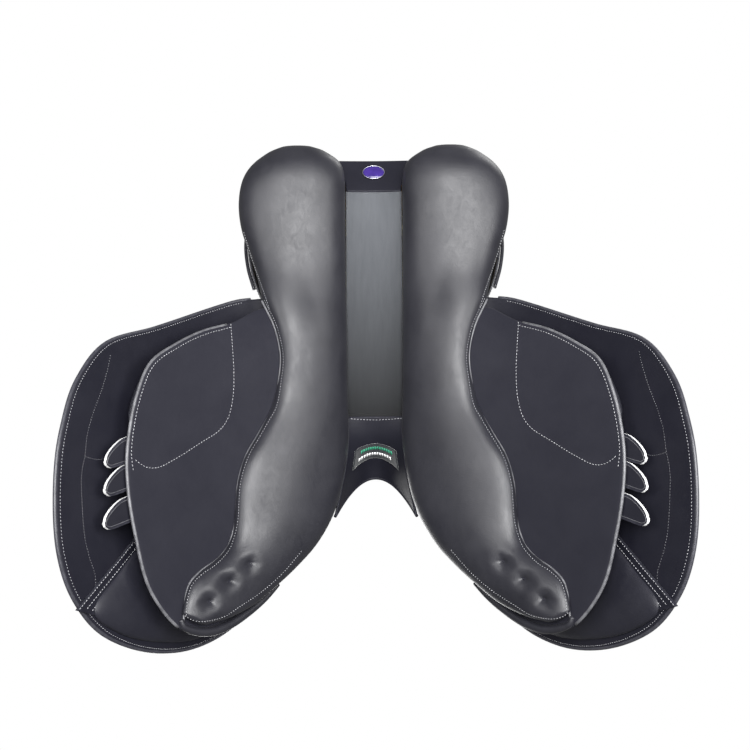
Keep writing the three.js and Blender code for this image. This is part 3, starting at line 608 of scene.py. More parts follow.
class Nodes:
    """Short calls for building a node tree."""

    def __init__(self, name):
        self.material = bpy.data.materials.new(name)
        self.material.use_nodes = True
        self.tree = self.material.node_tree
        self.tree.nodes.clear()
        self.output = self.tree.nodes.new("ShaderNodeOutputMaterial")
        self.shader = self.tree.nodes.new("ShaderNodeBsdfPrincipled")
        self.link(self.shader, "BSDF", self.output, "Surface")
        self.place = self.tree.nodes.new("ShaderNodeTexCoord")

    def link(self, source, output, target, entry):
        if source.bl_idname == "ShaderNodeMix":
            output = 2
        self.tree.links.new(source.outputs[output], target.inputs[entry])

    def add(self, kind, **values):
        """New node with its settings. In the name of an input, an underscore stands for a space."""
        node = self.tree.nodes.new(kind)
        for key, value in values.items():
            entry = key.replace("_", " ")
            if entry in node.inputs:
                node.inputs[entry].default_value = value
            else:
                setattr(node, key, value)
        return node

    def scaled(self, scale):
        mapping = self.add("ShaderNodeMapping", Scale=scale)
        self.link(self.place, "Object", mapping, "Vector")
        return mapping

    def noise(self, scale, detail=4.0, roughness=0.55, distortion=0.0, stretch=(1, 1, 1)):
        node = self.add("ShaderNodeTexNoise", Scale=scale, Detail=detail, Roughness=roughness,
                        Distortion=distortion)
        self.link(self.scaled(stretch), "Vector", node, "Vector")
        return node

    def cells(self, scale):
        node = self.add("ShaderNodeTexVoronoi", feature="DISTANCE_TO_EDGE", Scale=scale)
        self.link(self.scaled((1, 1, 1)), "Vector", node, "Vector")
        return node

    def ramp(self, source, output, stops):
        node = self.add("ShaderNodeValToRGB")
        elements = node.color_ramp.elements
        while len(elements) < len(stops):
            elements.new(0.5)
        for element, (position, colour) in zip(elements, stops):
            element.position = position
            element.color = (*colour, 1)
        self.link(source, output, node, "Fac")
        return node

    def ranged(self, source, output, low, high, start=0.0, end=1.0):
        node = self.add("ShaderNodeMapRange", From_Min=start, From_Max=end, To_Min=low, To_Max=high)
        self.link(source, output, node, "Value")
        return node

    def mixed(self, first, second, factor, way="MIX"):
        """Mixes two colours, given as (node, output) or plain colours."""
        node = self.tree.nodes.new("ShaderNodeMix")
        node.data_type = "RGBA"
        node.blend_type = way
        for entry, source in (("A", first), ("B", second)):
            sockets = [s for s in node.inputs if s.name == entry and s.type == "RGBA"]
            if isinstance(source[0], bpy.types.Node):
                self.tree.links.new(source[0].outputs[source[1]], sockets[0])
            else:
                sockets[0].default_value = (*source, 1)
        share = node.inputs[0]
        if isinstance(factor, tuple):
            self.tree.links.new(factor[0].outputs[factor[1]], share)
        else:
            share.default_value = factor
        return node

    def colour(self, node):
        output = [s for s in node.outputs if s.type == "RGBA"][0]
        self.tree.links.new(output, self.shader.inputs["Base Color"])

    def bump(self, layers):
        """Bump from (node, output, strength, distance in mm) layers, one on top of another."""
        normal = None
        for node, output, strength, depth in layers:
            bump = self.add("ShaderNodeBump", Strength=strength, Distance=depth * MM)
            self.link(node, output, bump, "Height")
            if normal is not None:
                self.link(normal, "Normal", bump, "Normal")
            normal = bump
        self.link(normal, "Normal", self.shader, "Normal")

    def set(self, **values):
        for key, value in values.items():
            self.shader.inputs[key.replace("_", " ")].default_value = value


def leather(name, dark, light, roughness, grain=900, grain_depth=0.10, crease=0.25, wear=0.5, shine=0.5):
    """Dyed leather: pore cells, fine grain, soft creases, uneven dye and paler worn edges."""
    n = Nodes(name)
    blotch = n.noise(22, 5, 0.6, 0.4)
    tone = n.ramp(blotch, "Fac", [(0.3, dark), (0.72, light)])
    edge = n.add("ShaderNodeNewGeometry")
    worn = n.ranged(edge, "Pointiness", 0, wear, 0.52, 0.6)
    scuff = n.noise(160, 6, 0.7, 0.5)
    scuffed = n.ranged(scuff, "Fac", 0.2, 1.0, 0.42, 0.62)
    share = n.add("ShaderNodeMath", operation="MULTIPLY")
    n.link(worn, "Result", share, 0)
    n.link(scuffed, "Result", share, 1)
    paler = tuple(min(1, 3.2 * c + 0.02) for c in light)
    n.colour(n.mixed((tone, "Color"), paler, (share, "Value")))
    cells = n.cells(grain)
    fine = n.noise(grain * 2.2, 4, 0.6)
    creases = n.noise(38, 3, 0.5, 1.6, (1, 3.2, 1))
    sharp = n.ramp(creases, "Fac", [(0.46, (0, 0, 0)), (0.5, (1, 1, 1)), (0.54, (0, 0, 0))])
    polish = n.noise(14, 4, 0.5, 0.3)
    rub = n.noise(120, 7, 0.72, 0.8, (1, 0.6, 1))
    smear = n.mixed((polish, "Color"), (rub, "Color"), 0.55)
    n.link(n.ranged(smear, "Result", roughness - 0.09, roughness + 0.12, 0.38, 0.62), "Result",
           n.shader, "Roughness")
    n.bump([(sharp, "Color", 0.12 * crease, 0.5), (rub, "Fac", 0.22 * crease, 0.35),
            (cells, "Distance", 0.35, grain_depth), (fine, "Fac", 0.3, grain_depth * 0.5)])
    n.set(Specular_IOR_Level=shine, Sheen_Weight=0.02, Sheen_Roughness=0.4)
    return n.material


def fabric(name, dark, light, threads, roughness=0.9, depth=0.3, fuzz=0.4, painted_shade=None):
    """Woven cloth: warp and weft threads with a soft fuzz. The optional (from y, to y, share) darkening is
    painted shade: the colour falls to share at the first y and is full at the second.
    """
    n = Nodes(name)
    warp = n.add("ShaderNodeTexWave", wave_type="BANDS", bands_direction="X")
    weft = n.add("ShaderNodeTexWave", wave_type="BANDS", bands_direction="Y")
    for wave in (warp, weft):
        wave.inputs["Scale"].default_value = threads
        wave.inputs["Distortion"].default_value = 1.2
        wave.inputs["Detail"].default_value = 2
        n.link(n.place, "Object", wave, "Vector")
    weave = n.mixed((warp, "Color"), (weft, "Color"), 0.5, "MULTIPLY")
    streak = n.noise(60, 6, 0.7, 0.2, (3, 0.35, 1))
    tone = n.ramp(streak, "Fac", [(0.3, dark), (0.7, light)])
    woven = n.mixed((tone, "Color"), (weave, 2), 0.25, "MULTIPLY")
    # Painted shade: the woven colour is multiplied by a ramp along y.
    if painted_shade:
        split = n.add("ShaderNodeSeparateXYZ")
        n.link(n.place, "Object", split, "Vector")
        shade = n.ranged(split, "Y", painted_shade[2], 1.0, painted_shade[0] * MM, painted_shade[1] * MM)
        woven = n.mixed((woven, 2), (shade, "Result"), 1.0, "MULTIPLY")
    n.colour(woven)
    fluff = n.noise(1500, 3, 0.7)
    n.bump([(weave, 2, 0.6, depth), (fluff, "Fac", fuzz, depth * 0.5)])
    n.set(Roughness=roughness, Specular_IOR_Level=0.2, Sheen_Weight=0.35, Sheen_Roughness=0.5)
    return n.material


def metal(name, dark, light, roughness=0.24):
    """Polished metal with fine scratches, dull patches and tarnish."""
    n = Nodes(name)
    patches = n.noise(45, 5, 0.6)
    n.colour(n.ramp(patches, "Fac", [(0.3, dark), (0.65, light)]))
    scratch = n.noise(420, 4, 0.8, 0.3, (1, 9, 1))
    n.link(n.ranged(patches, "Fac", roughness, roughness + 0.16, 0.3, 0.7), "Result", n.shader, "Roughness")
    n.bump([(scratch, "Fac", 0.25, 0.03)])
    n.set(Metallic=1.0)
    return n.material


def plain(name, dark, light, roughness, scale=60, bump_scale=700, depth=0.1, stretch=(1, 1, 1)):
    """Uneven colour and fine relief for thread, foam, wood, paint and enamel."""
    n = Nodes(name)
    blotch = n.noise(scale, 5, 0.6, 0.3, stretch)
    n.colour(n.ramp(blotch, "Fac", [(0.3, dark), (0.7, light)]))
    relief = n.noise(bump_scale, 3, 0.6, 0.0, stretch)
    n.link(n.ranged(relief, "Fac", roughness - 0.06, roughness + 0.06, 0.3, 0.7), "Result",
           n.shader, "Roughness")
    n.bump([(relief, "Fac", 0.5, depth)])
    return n.material


panel_leather = leather("panel_leather", (0.010, 0.010, 0.014), (0.017, 0.017, 0.022), 0.42,
                        1000, 0.05, 0.5, 0.15)
seat_leather = leather("seat_leather", (0.012, 0.012, 0.016), (0.019, 0.019, 0.024), 0.42,
                       800, 0.10, 0.4, 0.3)
# The flap leather is darker than the seat, panel and sweat flap leathers: black dye plus painted shade for
# the flap's shaded underside. The facings, tuft knots, knee pad band, keeper-free trim and point pockets
# share this darkened colour.
flap_leather_painted_shade = leather("flap_leather_painted_shade", (0.0045, 0.0045, 0.0090), (0.0068, 0.0068, 0.0120), 0.60,
                       1100, 0.08, 0.2, 0.3, shine=0.22)
sweat_leather = leather("sweat_leather", (0.0095, 0.0095, 0.0150), (0.0130, 0.0130, 0.0190), 0.72,
                        1200, 0.09, 0.2, 0.2, shine=0.2)
pad_leather = leather("pad_leather", (0.008, 0.008, 0.013), (0.013, 0.013, 0.019), 0.44,
                      900, 0.08, 0.5, 0.2, shine=0.35)
# The binding leather is several times paler than the flap leather: painted highlight along the flap's rolled
# edge. Its lower roughness gives it real gloss.
binding_leather_painted_highlight = leather("binding_leather_painted_highlight", (0.016, 0.016, 0.022), (0.030, 0.030, 0.037), 0.36,
                          900, 0.06, 0.3, 0.6)
strap_leather = leather("strap_leather", (0.005, 0.005, 0.009), (0.009, 0.009, 0.014), 0.55,
                        700, 0.12, 0.4, 0.5, shine=0.2)
edge_paint = plain("edge_paint", (0.05, 0.05, 0.056), (0.13, 0.13, 0.14), 0.40, 90, 900, 0.08)
white_edge = plain("white_edge", (0.70, 0.70, 0.70), (0.88, 0.88, 0.88), 0.6, 200, 1500, 0.08)
thread = plain("thread", (0.22, 0.22, 0.23), (0.42, 0.42, 0.44), 0.6, 300, 2600, 0.12)
# The channel lining carries painted shade: darker towards the front, down to 0.06 of its colour at y = -60
# mm.
lining_cloth = fabric("lining_cloth", (0.080, 0.085, 0.094), (0.098, 0.103, 0.113), 700, 0.92, 0.10, 0.3,
                      painted_shade=(-60, 200, 0.06))
web_cloth = fabric("web_cloth", (0.36, 0.32, 0.25), (0.52, 0.48, 0.38), 140, 0.9, 0.5, 0.3)
steel = metal("steel", (0.42, 0.43, 0.45), (0.72, 0.73, 0.75))
foam = plain("foam", (0.62, 0.52, 0.28), (0.78, 0.70, 0.44), 0.9, 70, 900, 0.8)
wood = plain("wood", (0.22, 0.12, 0.05), (0.42, 0.26, 0.12), 0.5, 14, 260, 0.2, (6, 0.8, 6))
enamel = plain("enamel", (0.018, 0.010, 0.090), (0.040, 0.020, 0.17), 0.2, 90, 500, 0.02)
faint_thread = plain("faint_thread", (0.09, 0.09, 0.10), (0.17, 0.17, 0.18), 0.6, 300, 2600, 0.12)
label_cloth = fabric("label_cloth", (0.010, 0.012, 0.014), (0.022, 0.024, 0.028), 420, 0.85, 0.2, 0.2)
label_white = plain("label_white", (0.55, 0.55, 0.55), (0.80, 0.80, 0.80), 0.7, 400, 1500, 0.1)
label_green = plain("label_green", (0.01, 0.16, 0.09), (0.03, 0.30, 0.17), 0.6, 400, 1500, 0.1)

# ---------- camera, floor and light ----------

camera = new_object("camera", bpy.data.cameras.new("camera"))
camera.data.sensor_width = 36
camera.data.lens = 36 * CAMERA_DISTANCE / VIEW_WIDTH
camera.location = (0, 0, -CAMERA_DISTANCE)
camera.rotation_euler = (0, math.pi, math.radians(0.41))
bpy.context.scene.camera = camera

floor_points = [(x * FLOOR_HALF, y * FLOOR_HALF, FLOOR_Z) for x, y in ((-1, -1), (1, -1), (1, 1), (-1, 1))]
floor_mesh = new_mesh("floor", floor_points, [[0, 1, 2, 3]])
floor_mesh.materials.append(plain("floor_paint", (0.78, 0.78, 0.78), (0.84, 0.84, 0.84), 0.8, 3, 60, 0.2))
new_object("floor", floor_mesh)


def softbox(name, place, aim, size, power):
    lamp = bpy.data.lights.new(name, "AREA")
    lamp.shape = "RECTANGLE"
    lamp.size, lamp.size_y = size
    lamp.energy = power
    light = new_object(name, lamp)
    light.location = place
    light.rotation_euler = (Vector(aim) - Vector(place)).to_track_quat("-Z", "Y").to_euler()
    light.visible_camera = False


softbox("camera_light", (-0.10, 0.50, -1.85), (0, 0.10, 0), (1.1, 1.4), 76)
softbox("right_light", (-1.05, 0.25, -1.30), (0, 0.05, 0), (0.8, 0.9), 24)
softbox("left_light", (1.00, 0.40, -1.35), (0, 0.05, 0), (0.8, 0.9), 14)
softbox("top_light", (0.6, -0.8, 2.0), (0, 0, 0), (1.6, 1.6), 40)
softbox("back_light", (-1.2, 1.8, 1.2), (0, 0, 0), (1.2, 1.2), 20)

world = bpy.data.worlds.new("studio")
world.use_nodes = True
bpy.context.scene.world = world
world_nodes = world.node_tree.nodes
world_nodes.clear()
seen = world_nodes.new("ShaderNodeBackground")
seen.inputs["Strength"].default_value = 1.0
cast = world_nodes.new("ShaderNodeBackground")
cast.inputs["Strength"].default_value = 0.20
for background in (seen, cast):
    background.inputs["Color"].default_value = (1, 1, 1, 1)
ray = world_nodes.new("ShaderNodeLightPath")
choice = world_nodes.new("ShaderNodeMixShader")
surroundings = world_nodes.new("ShaderNodeOutputWorld")
world.node_tree.links.new(ray.outputs["Is Camera Ray"], choice.inputs[0])
world.node_tree.links.new(cast.outputs[0], choice.inputs[1])
world.node_tree.links.new(seen.outputs[0], choice.inputs[2])
world.node_tree.links.new(choice.outputs[0], surroundings.inputs["Surface"])
bpy.context.scene.view_settings.view_transform = "Standard"

# ---------- seat ----------

seat_outline = smooth_line(symmetric(SEAT_OUTLINE), 200, closed=True)


def seat_ring(scale, below):
    x, y = scaled(seat_outline, SEAT_CENTRE, scale).T
    return np.stack([x, y, seat_top(x, y) - below], axis=1)


def wall_ring(part, inset=0.0):
    x, y = seat_outline.T
    depth = wall_depth(y)
    scale = 1 - inset - 0.0004 * depth * part
    plan = scaled(seat_outline, SEAT_CENTRE, scale[:, None])
    return np.column_stack([plan, seat_top(x, y) - 4 - depth * part])


def seat_mesh():
    """Seat leather over its rim, down the wall and turned under, with the foam's crown in it."""
    rings = [seat_ring(0.01 + 0.94 * i / 30, 0) for i in range(31)]
    top_count = len(rings)
    rings += [seat_ring(0.972, 0.3), seat_ring(0.987, 1.2), seat_ring(0.997, 2.6)]
    rings += [wall_ring(part) for part in (0, 0.2, 0.4, 0.6, 0.8, 0.97)]
    rings += [wall_ring(1, 0.008), wall_ring(0.97, 0.022), wall_ring(0.5, 0.024), wall_ring(0.02, 0.024)]
    rings += [seat_ring(s, COVER_THICKNESS) for s in (0.95, 0.8, 0.6, 0.4, 0.2, 0.02)]
    vertices, faces = ring_body(rings)
    held = np.ones(len(vertices), bool)
    held[:(top_count - 1) * len(seat_outline)] = False
    seam_ring = 26 * len(seat_outline)
    held[seam_ring:seam_ring + len(seat_outline)] = True
    held[len(vertices) - 2] = False
    return inflated((vertices, faces), held, 1.6, 3.0), faces


seat = seat_mesh()
seat_piece = add_piece("seat_leather", seat, seat_leather, "saddle", ["seat_cover"])
seat_face = surface_of(seat)


def seat_line(scale, count=420):
    """Points and normals of the seat outline, scaled about its centre, on the seat."""
    path = scaled(seat_outline, SEAT_CENTRE, scale)
    return laid(evenly(np.vstack([path, path[:1]]), count)[:-1], seat_face, from_below=False)


welt_points, welt_up = seat_line(0.835)
add_piece("seat_welt", tube(welt_points + 0.2 * welt_up, 1.5, 8, closed=True), seat_leather)
seam_threads = [stitch_row(*seat_line(scale)) for scale in (0.808, 0.862)]
rim_path = smooth_line(
    [(1.024 * x, 60 + 1.024 * (y - 60), float(seat_top(x, y)) - 4) for x, y in
     SEAT_OUTLINE[8:] + [(-x, y) for x, y in reversed(SEAT_OUTLINE[8:-1])]], 160)
add_piece("cantle_piping", tube(rim_path, 2.2, 12), seat_leather, stands_for=["cantle_welt"])

# Two rows of thread round the cantle wall, below the piping.
wall_normal = unit(np.column_stack([seat_outline - np.array(SEAT_CENTRE), np.zeros(len(seat_outline))]))
shift = np.argmin(seat_outline[:, 1])
wall_normal = np.roll(wall_normal, -shift, axis=0)
behind = np.roll(wall_ring(0.42), -shift, axis=0)[:, 1] > SEAT_CENTRE[1]
for part in (0.3, 0.42):
    row = np.roll(wall_ring(part), -shift, axis=0)[behind]
    seam_threads.append(stitch_row(row + 0.15 * wall_normal[behind], wall_normal[behind]))
add_piece("seat_stitching", joined(seam_threads), thread)

# ---------- panels ----------

def softened(stations):
    """Panel stations with their heights and fullness averaged along the middle of the panel."""
    kernel = np.hanning(19)
    kernel /= kernel.sum()
    place = np.arange(len(stations))
    share = np.minimum(smoothstep(8, 24, place), smoothstep(len(stations) - 22, len(stations) - 40, place))
    for column in (2, 5, 6, 7):
        padded = np.pad(stations[:, column], 9, mode="edge")
        stations[:, column] += share * (np.convolve(padded, kernel, "valid") - stations[:, column])
    return stations


def panel_rings():
    stations = softened(smooth_line(PANEL_STATIONS, STATION_COUNT))
    inner, outer = stations[:, 0:3], stations[:, 3:6]
    below, above = stations[:, 6:7], stations[:, 7:8]
    centre = (inner + outer) / 2
    across = outer - inner
    half = np.linalg.norm(across, axis=1, keepdims=True) / 2
    across /= 2 * half
    along = unit(np.gradient(centre, axis=0))
    up = unit(np.cross(along, across))
    up *= np.where(up[:, 2:] < 0, -1, 1)
    angle = np.linspace(0, 2 * math.pi, SECTION_POINTS, endpoint=False)
    side = np.sign(np.cos(angle)) * np.abs(np.cos(angle)) ** (2 / 2.4)
    rise = np.sign(np.sin(angle)) * np.abs(np.sin(angle)) ** (2 / 2.4)
    depth = np.where(rise[None] > 0, above * rise[None], below * rise[None])
    rings = (centre[:, None] + (half * side[None])[..., None] * across[:, None]
             + depth[..., None] * up[:, None])
    limit = sweat_surface(rings[..., 0], rings[..., 1]) - 0.9
    limit += 80 * smoothstep(-62, -40, rings[..., 1]) + 80 * smoothstep(76, 66, rings[..., 0])
    rings[..., 2] = np.minimum(rings[..., 2], limit)
    caps = []
    for end, direction in ((0, -1), (-1, 1)):
        middle = rings[end].mean(axis=0)
        cap = []
        for scale, push in ((0.86, 0.4), (0.6, 0.75), (0.3, 1.0)):
            bulge = push * (2.6 if end == 0 else 5.0)
            cap.append(middle + scale * (rings[end] - middle) + direction * bulge * along[end])
        caps.append(cap)
    return np.array(caps[0][::-1] + list(rings) + caps[1]), rise


def tuft_shape(vertices, lower):
    """Deep dimples pulled in by the tufts, with small folds running to each one."""
    for k, (tuft_x, tuft_y) in enumerate(TUFTS):
        dx, dy = vertices[:, 0] - tuft_x, vertices[:, 1] - tuft_y
        r, turn = np.hypot(dx, dy), np.arctan2(dy, dx)
        folds = np.cos(5 * turn + 1.3 * k) + 0.7 * np.cos(3 * turn + 2.1 * k + 1)
        dent = 2.8 * np.exp(-(r / 3.0) ** 2) + 1.8 * np.exp(-(r / 7.0) ** 2)
        dent += 0.16 * folds * np.exp(-((r - 7.5) / 4.0) ** 2)
        vertices[:, 2] += lower * (dent - 0.5 * np.exp(-((r - 14) / 6.0) ** 2))


def panel_mesh():
    rings, rise = panel_rings()
    vertices, faces = ring_body(rings)
    count = SECTION_POINTS
    slot_of = np.arange(len(vertices)) % count
    lower = np.zeros(len(vertices), bool)
    lower[:-2] = (rise < -0.2)[slot_of[:-2]]
    near_tuft = np.zeros(len(vertices), bool)
    for tuft_x, tuft_y in TUFTS:
        r = np.hypot(vertices[:, 0] - tuft_x, vertices[:, 1] - tuft_y)
        vertices[:, 2] += lower * 2.5 * np.exp(-(r / 9) ** 2)
        near_tuft |= lower & (r < 3.4)
    free = np.zeros(len(vertices), bool)
    free[:-2] = (rise < 0.05)[slot_of[:-2]] & (np.abs(rise) > 0.12)[slot_of[:-2]]
    vertices = inflated((vertices, faces), ~free | near_tuft, 1.0, 2.6)
    rings = vertices[:-2].reshape(-1, count, 3)
    last = len(rings) - 1
    places = np.concatenate([np.linspace(0, 0.70 * last, 170, endpoint=False),
                             np.linspace(0.70 * last, last, 150)])
    rings = resampled(rings, places, False)
    across = np.linspace(0, count, FINE_SECTION_POINTS, endpoint=False)
    rings = resampled(rings.transpose(1, 0, 2), across, True).transpose(1, 0, 2)
    vertices, faces = ring_body(rings)
    lower = np.zeros(len(vertices))
    fine_rise = np.interp(across, np.arange(count + 1), np.append(rise, rise[0]))
    lower[:-2] = np.tile(smoothstep(-0.1, -0.4, fine_rise), len(rings))
    tuft_shape(vertices, lower)
    return vertices, faces


panel = panel_mesh()
panels = add_pair("panel_stuffed", panel, panel_leather, "saddle", ["panel"])
panel_face = surface_of(panel)

# Knotted twine at the bottom of each tuft.
knots = []
for spot, out in zip(*laid(TUFTS, panel_face)):
    side = unit(np.cross(out, (1, 0, 0)))
    other = np.cross(out, side)
    turns = np.linspace(0, 2 * math.pi, 20, endpoint=False)
    loop = [spot + 0.4 * out + 1.9 * (math.cos(a) * side + math.sin(a) * other) for a in turns]
    knots.append(tube(loop, 0.5, 8, out, closed=True))
    bead = [spot + (lift - 0.3) * out for lift in (0, 0.4, 0.8, 1.1)]
    knots.append(tube(np.array(bead), 1.0, 10, side))
add_pair("panel_tufts", joined(knots), flap_leather_painted_shade)

# ---------- flaps and sweat flaps ----------

flap_line = smooth_line(FLAP_OUTLINE, 150)
flap_plan = np.vstack([flap_line, evenly([(99, -152), (84, -147), (70, -140)], 8)[1:],
                       evenly([(70, -140), (105.4, 88)], 50)[1:],
                       evenly([(105.4, 88), (121, 91), (137, 92)], 8)[1:-1]])
# The flap is drawn in the darkened flap leather: painted shade on its underside.
flap = sheet(flap_plan, FLAP_CENTRE, flap_surface, lambda s: 0, lambda s: FLAP_THICKNESS, 34)
flap_pieces = add_pair("flap_leather_painted_shade", flap, flap_leather_painted_shade, None, ["flap", "flap_root"])
flap_face = surface_of(flap)

sweat_plan = smooth_line(SWEAT_OUTLINE, 180, closed=True)
sweat = sheet(sweat_plan, SWEAT_CENTRE, sweat_surface, lambda s: 0, lambda s: SWEAT_THICKNESS, 26)
add_pair("sweat_flap_leather", sweat, sweat_leather, "saddle", ["sweat_flap"])
sweat_face = surface_of(sweat)


def fold_over(piece):
    """Bakes a piece's placement into its mesh."""
    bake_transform(piece)


for piece, side in zip(flap_pieces, ("left", "right")):
    fold_over(piece)

# ---------- skirts ----------

def skirt_height(x, y):
    """Top face of the skirt outside the join, easing into the flap's own curve."""
    fold_x, _ = fold_at(y)
    far = fold_x + SKIRT_EASE
    outer = flap_surface(np.maximum(x, far), y) + SKIRT_TOP
    end_z = flap_surface(far, y) + SKIRT_TOP
    end_slope = flap_surface(far + 1, y) - flap_surface(far, y)
    join_z, join_slope = skirt_join(y)
    width = SKIRT_EASE - SKIRT_JOIN
    t = np.clip((x - fold_x - SKIRT_JOIN) / width, 0, 1)
    return np.where(x > far, outer, hermite(t, join_z, width * join_slope, end_z, width * end_slope))


def skirt_join(y):
    """Height and slope of the skirt's top face on the join line."""
    fold_x, fold_z = fold_at(y)
    end_z = flap_surface(fold_x + SKIRT_EASE, y) + SKIRT_TOP
    near_z = fold_z + SKIRT_ROOT_RISE
    return 0.42 * near_z + 0.58 * end_z, (end_z - near_z) / 26


def skirt_top_grid(offset):
    rows = []
    for y in np.linspace(-139, 58, 60):
        fold_x, fold_z = (float(v) for v in fold_at(y))
        seat_y = -118 + (y + 140) / 196 * 174
        half = float(seat_half_width(seat_y))
        start = (half - 6, float(seat_top(half, seat_y)) - 8.5 - float(wall_depth(seat_y)))
        join_z, join_slope = (float(v) for v in skirt_join(y))
        end = (fold_x + SKIRT_JOIN, join_z)
        middle_x = 0.5 * (half - 3 + fold_x - 8)
        middle = (middle_x, 0.5 * (start[1] + fold_z + SKIRT_ROOT_RISE) + 0.12 * (fold_x - 5 - half))
        rise = profile([(start[0], start[1]), (middle[0], middle[1]), (fold_x - 9, fold_z + 14.8), end,
                        (fold_x + SKIRT_JOIN + 3, join_z + 3 * join_slope)])
        x = np.linspace(start[0], end[0], 26)
        share = smoothstep(0, 1, np.linspace(0, 1, 26))
        rows.append(np.column_stack([x, seat_y + share * (y - seat_y), rise(x) - offset]))
    return np.array(rows)


skirt_root_pieces = add_pair("skirt_root", slab(skirt_top_grid(0), skirt_top_grid(3)), seat_leather, None,
                             ["skirt_top"])
skirt_line = smooth_line(SKIRT_OUTLINE, 90)
fold_low, fold_high = float(fold_at(-139)[0]), float(fold_at(58)[0])
skirt_plan = np.vstack([skirt_line, evenly([(110, -139), (fold_low + SKIRT_JOIN, -139)], 4)[1:],
                        evenly([(fold_low + SKIRT_JOIN, -139), (fold_high + SKIRT_JOIN, 58)], 60)[1:],
                        evenly([(fold_high + SKIRT_JOIN, 58), (143, 58)], 4)[1:-1]])
skirt = sheet(skirt_plan, (140, -45), skirt_height, lambda s: -3.2, lambda s: 0, 18, 0.8)
skirt_pieces = add_pair("skirt_leather", skirt, seat_leather, None, ["skirt"])
for root, piece, side in zip(skirt_root_pieces, skirt_pieces, ("left", "right")):
    fold_over(root)
    fold_over(piece)

# ---------- pads ----------

def pad_mesh(outline, centre, height, base, thickness, towards, pressure):
    """Stuffed pad on a surface: flat against it, crowned on the other side."""
    outline = smooth_line(outline, 72, closed=True)

    def ring(s, offset):
        return plan_ring(outline, centre, height, s, offset)
    shares = [0.02, 0.12, 0.24, 0.36, 0.48, 0.6, 0.71, 0.81, 0.89, 0.95, 0.985, 1.0]

    def rise(s):
        return base + towards * (1.2 + (thickness - 2.4) * math.sqrt(max(0.0, 1 - s ** 3)))
    rings = [ring(s, rise(s)) for s in shares] + [ring(s, base) for s in reversed(shares)]
    vertices, faces = ring_body(rings)
    held = np.ones(len(vertices), bool)
    held[:10 * len(outline)] = False
    held[-2] = False
    return inflated((vertices, faces), held, pressure, 2.2), faces


knee_pad = pad_mesh(KNEE_PAD_OUTLINE, (224, -242), flap_surface, -0.5, 12, -1, 2.0)
knee_block = pad_mesh(KNEE_BLOCK_OUTLINE, (186, -206), sweat_surface, SWEAT_THICKNESS + 1, 18, 1, 2.0)
thigh_block = pad_mesh(THIGH_BLOCK_OUTLINE, (221, 2), sweat_surface, SWEAT_THICKNESS + 1.8, 15, 1, 2.0)
for name, mesh, body, node in (("knee_pad_stuffed", knee_pad, "flap", "knee_pad"),
                               ("knee_block_stuffed", knee_block, "saddle", "knee_block"),
                               ("thigh_block_stuffed", thigh_block, "saddle", "thigh_block")):
    for piece in add_pair(name, mesh, pad_leather, body, [node]):
        detail = piece.modifiers.new("smooth", "SUBSURF")
        detail.levels = detail.render_levels = 1

# ---------- channel lining and facings ----------

def lining_grid(offset):
    rows = []
    for y in np.linspace(-53, 224.5, 92):
        u = np.linspace(-1, 1, 30)
        z = float(lining_height(y)) + 3 * (1 - u * u) + offset + 2.6 * float(smoothstep(-47, -51, y))
        rows.append(np.column_stack([CHANNEL_HALF_WIDTH * u, np.full(30, y), z]))
    return np.array(rows)


lining = add_piece("channel_cloth", slab(lining_grid(0.7), lining_grid(-0.7)), lining_cloth, "saddle",
                   ["channel_lining"])


def rear_facing_middle(v):
    """Height of the rear facing on the middle plane, from its front edge (0) to its back edge (1)."""
    return float(lining_height(224)) + REAR_FACING_CROWN + REAR_FACING_RISE * v


def rear_facing_grid(offset):
    rows = []
    u = np.linspace(-1, 1, 28)
    for v in np.linspace(-0.03, 1, 24):
        half = 33.6 + 9 * float(smoothstep(0.05, 0.9, v))
        y = np.full(len(u), REAR_FACING_Y + REAR_FACING_RUN * v)
        z = rear_facing_middle(v) - REAR_FACING_CROWN * u * u
        rows.append(np.column_stack([half * u, y, z]) - offset * REAR_FACING_OUT)
    return np.array(rows)


rear_facing = slab(rear_facing_grid(1.3), rear_facing_grid(-1.3))
add_piece("rear_facing_leather", rear_facing, flap_leather_painted_shade, stands_for=["rear_facing"])

arch_edge = smooth_line([(33.4, -50, 24), (33.2, -75, 19), (36, -105, 12), (42, -138, 3), (48, -166, -4)], 60)
arch_middle = smooth_line([(0, -50, 29), (0, -71, 35), (0, -91, 45), (0, -111, 56), (0, -127, 62)], 60)


def arch_points(u, v):
    at = np.clip(v, 0, 1) * 59
    edge = np.stack([np.interp(at, range(60), column) for column in arch_edge.T], axis=-1)
    middle = np.stack([np.interp(at, range(60), column) for column in arch_middle.T], axis=-1)
    return np.stack([edge[..., 0] * u, middle[..., 1] + (edge[..., 1] - middle[..., 1]) * u * u,
                     middle[..., 2] + (edge[..., 2] - middle[..., 2]) * np.abs(u) ** 2.3], axis=-1)


def arch_grid(u_range, v_range, columns, rows, offset):
    v, u = np.meshgrid(np.linspace(*v_range, rows), np.linspace(*u_range, columns), indexing="ij")
    step = 0.01
    along_u = arch_points(u + step, v) - arch_points(u - step, v)
    along_v = arch_points(u, v + step) - arch_points(u, v - step)
    return arch_points(u, v) + offset * unit(np.cross(along_v, along_u))


front_facing = slab(arch_grid((-1, 1), (0, 1), 60, 40, 1.2), arch_grid((-1, 1), (0, 1), 60, 40, -1.2))
add_piece("front_facing_leather", front_facing, flap_leather_painted_shade, stands_for=["front_facing"])
front_face = surface_of(front_facing)

# ---------- piping, seams and stitching ----------

seam_line = smooth_line(PANEL_SEAM, 220)
seam_z = sweat_surface(*seam_line.T) - 1.2
add_pair("panel_welt", tube(np.column_stack([seam_line, seam_z]), 1.3, 10), edge_paint)
panel_threads = stitches_on(panel_face, [parallel(seam_line, -3.2), BULB_SEAM], length=1.5, gap=1.7)
add_pair("panel_stitching", panel_threads, thread)

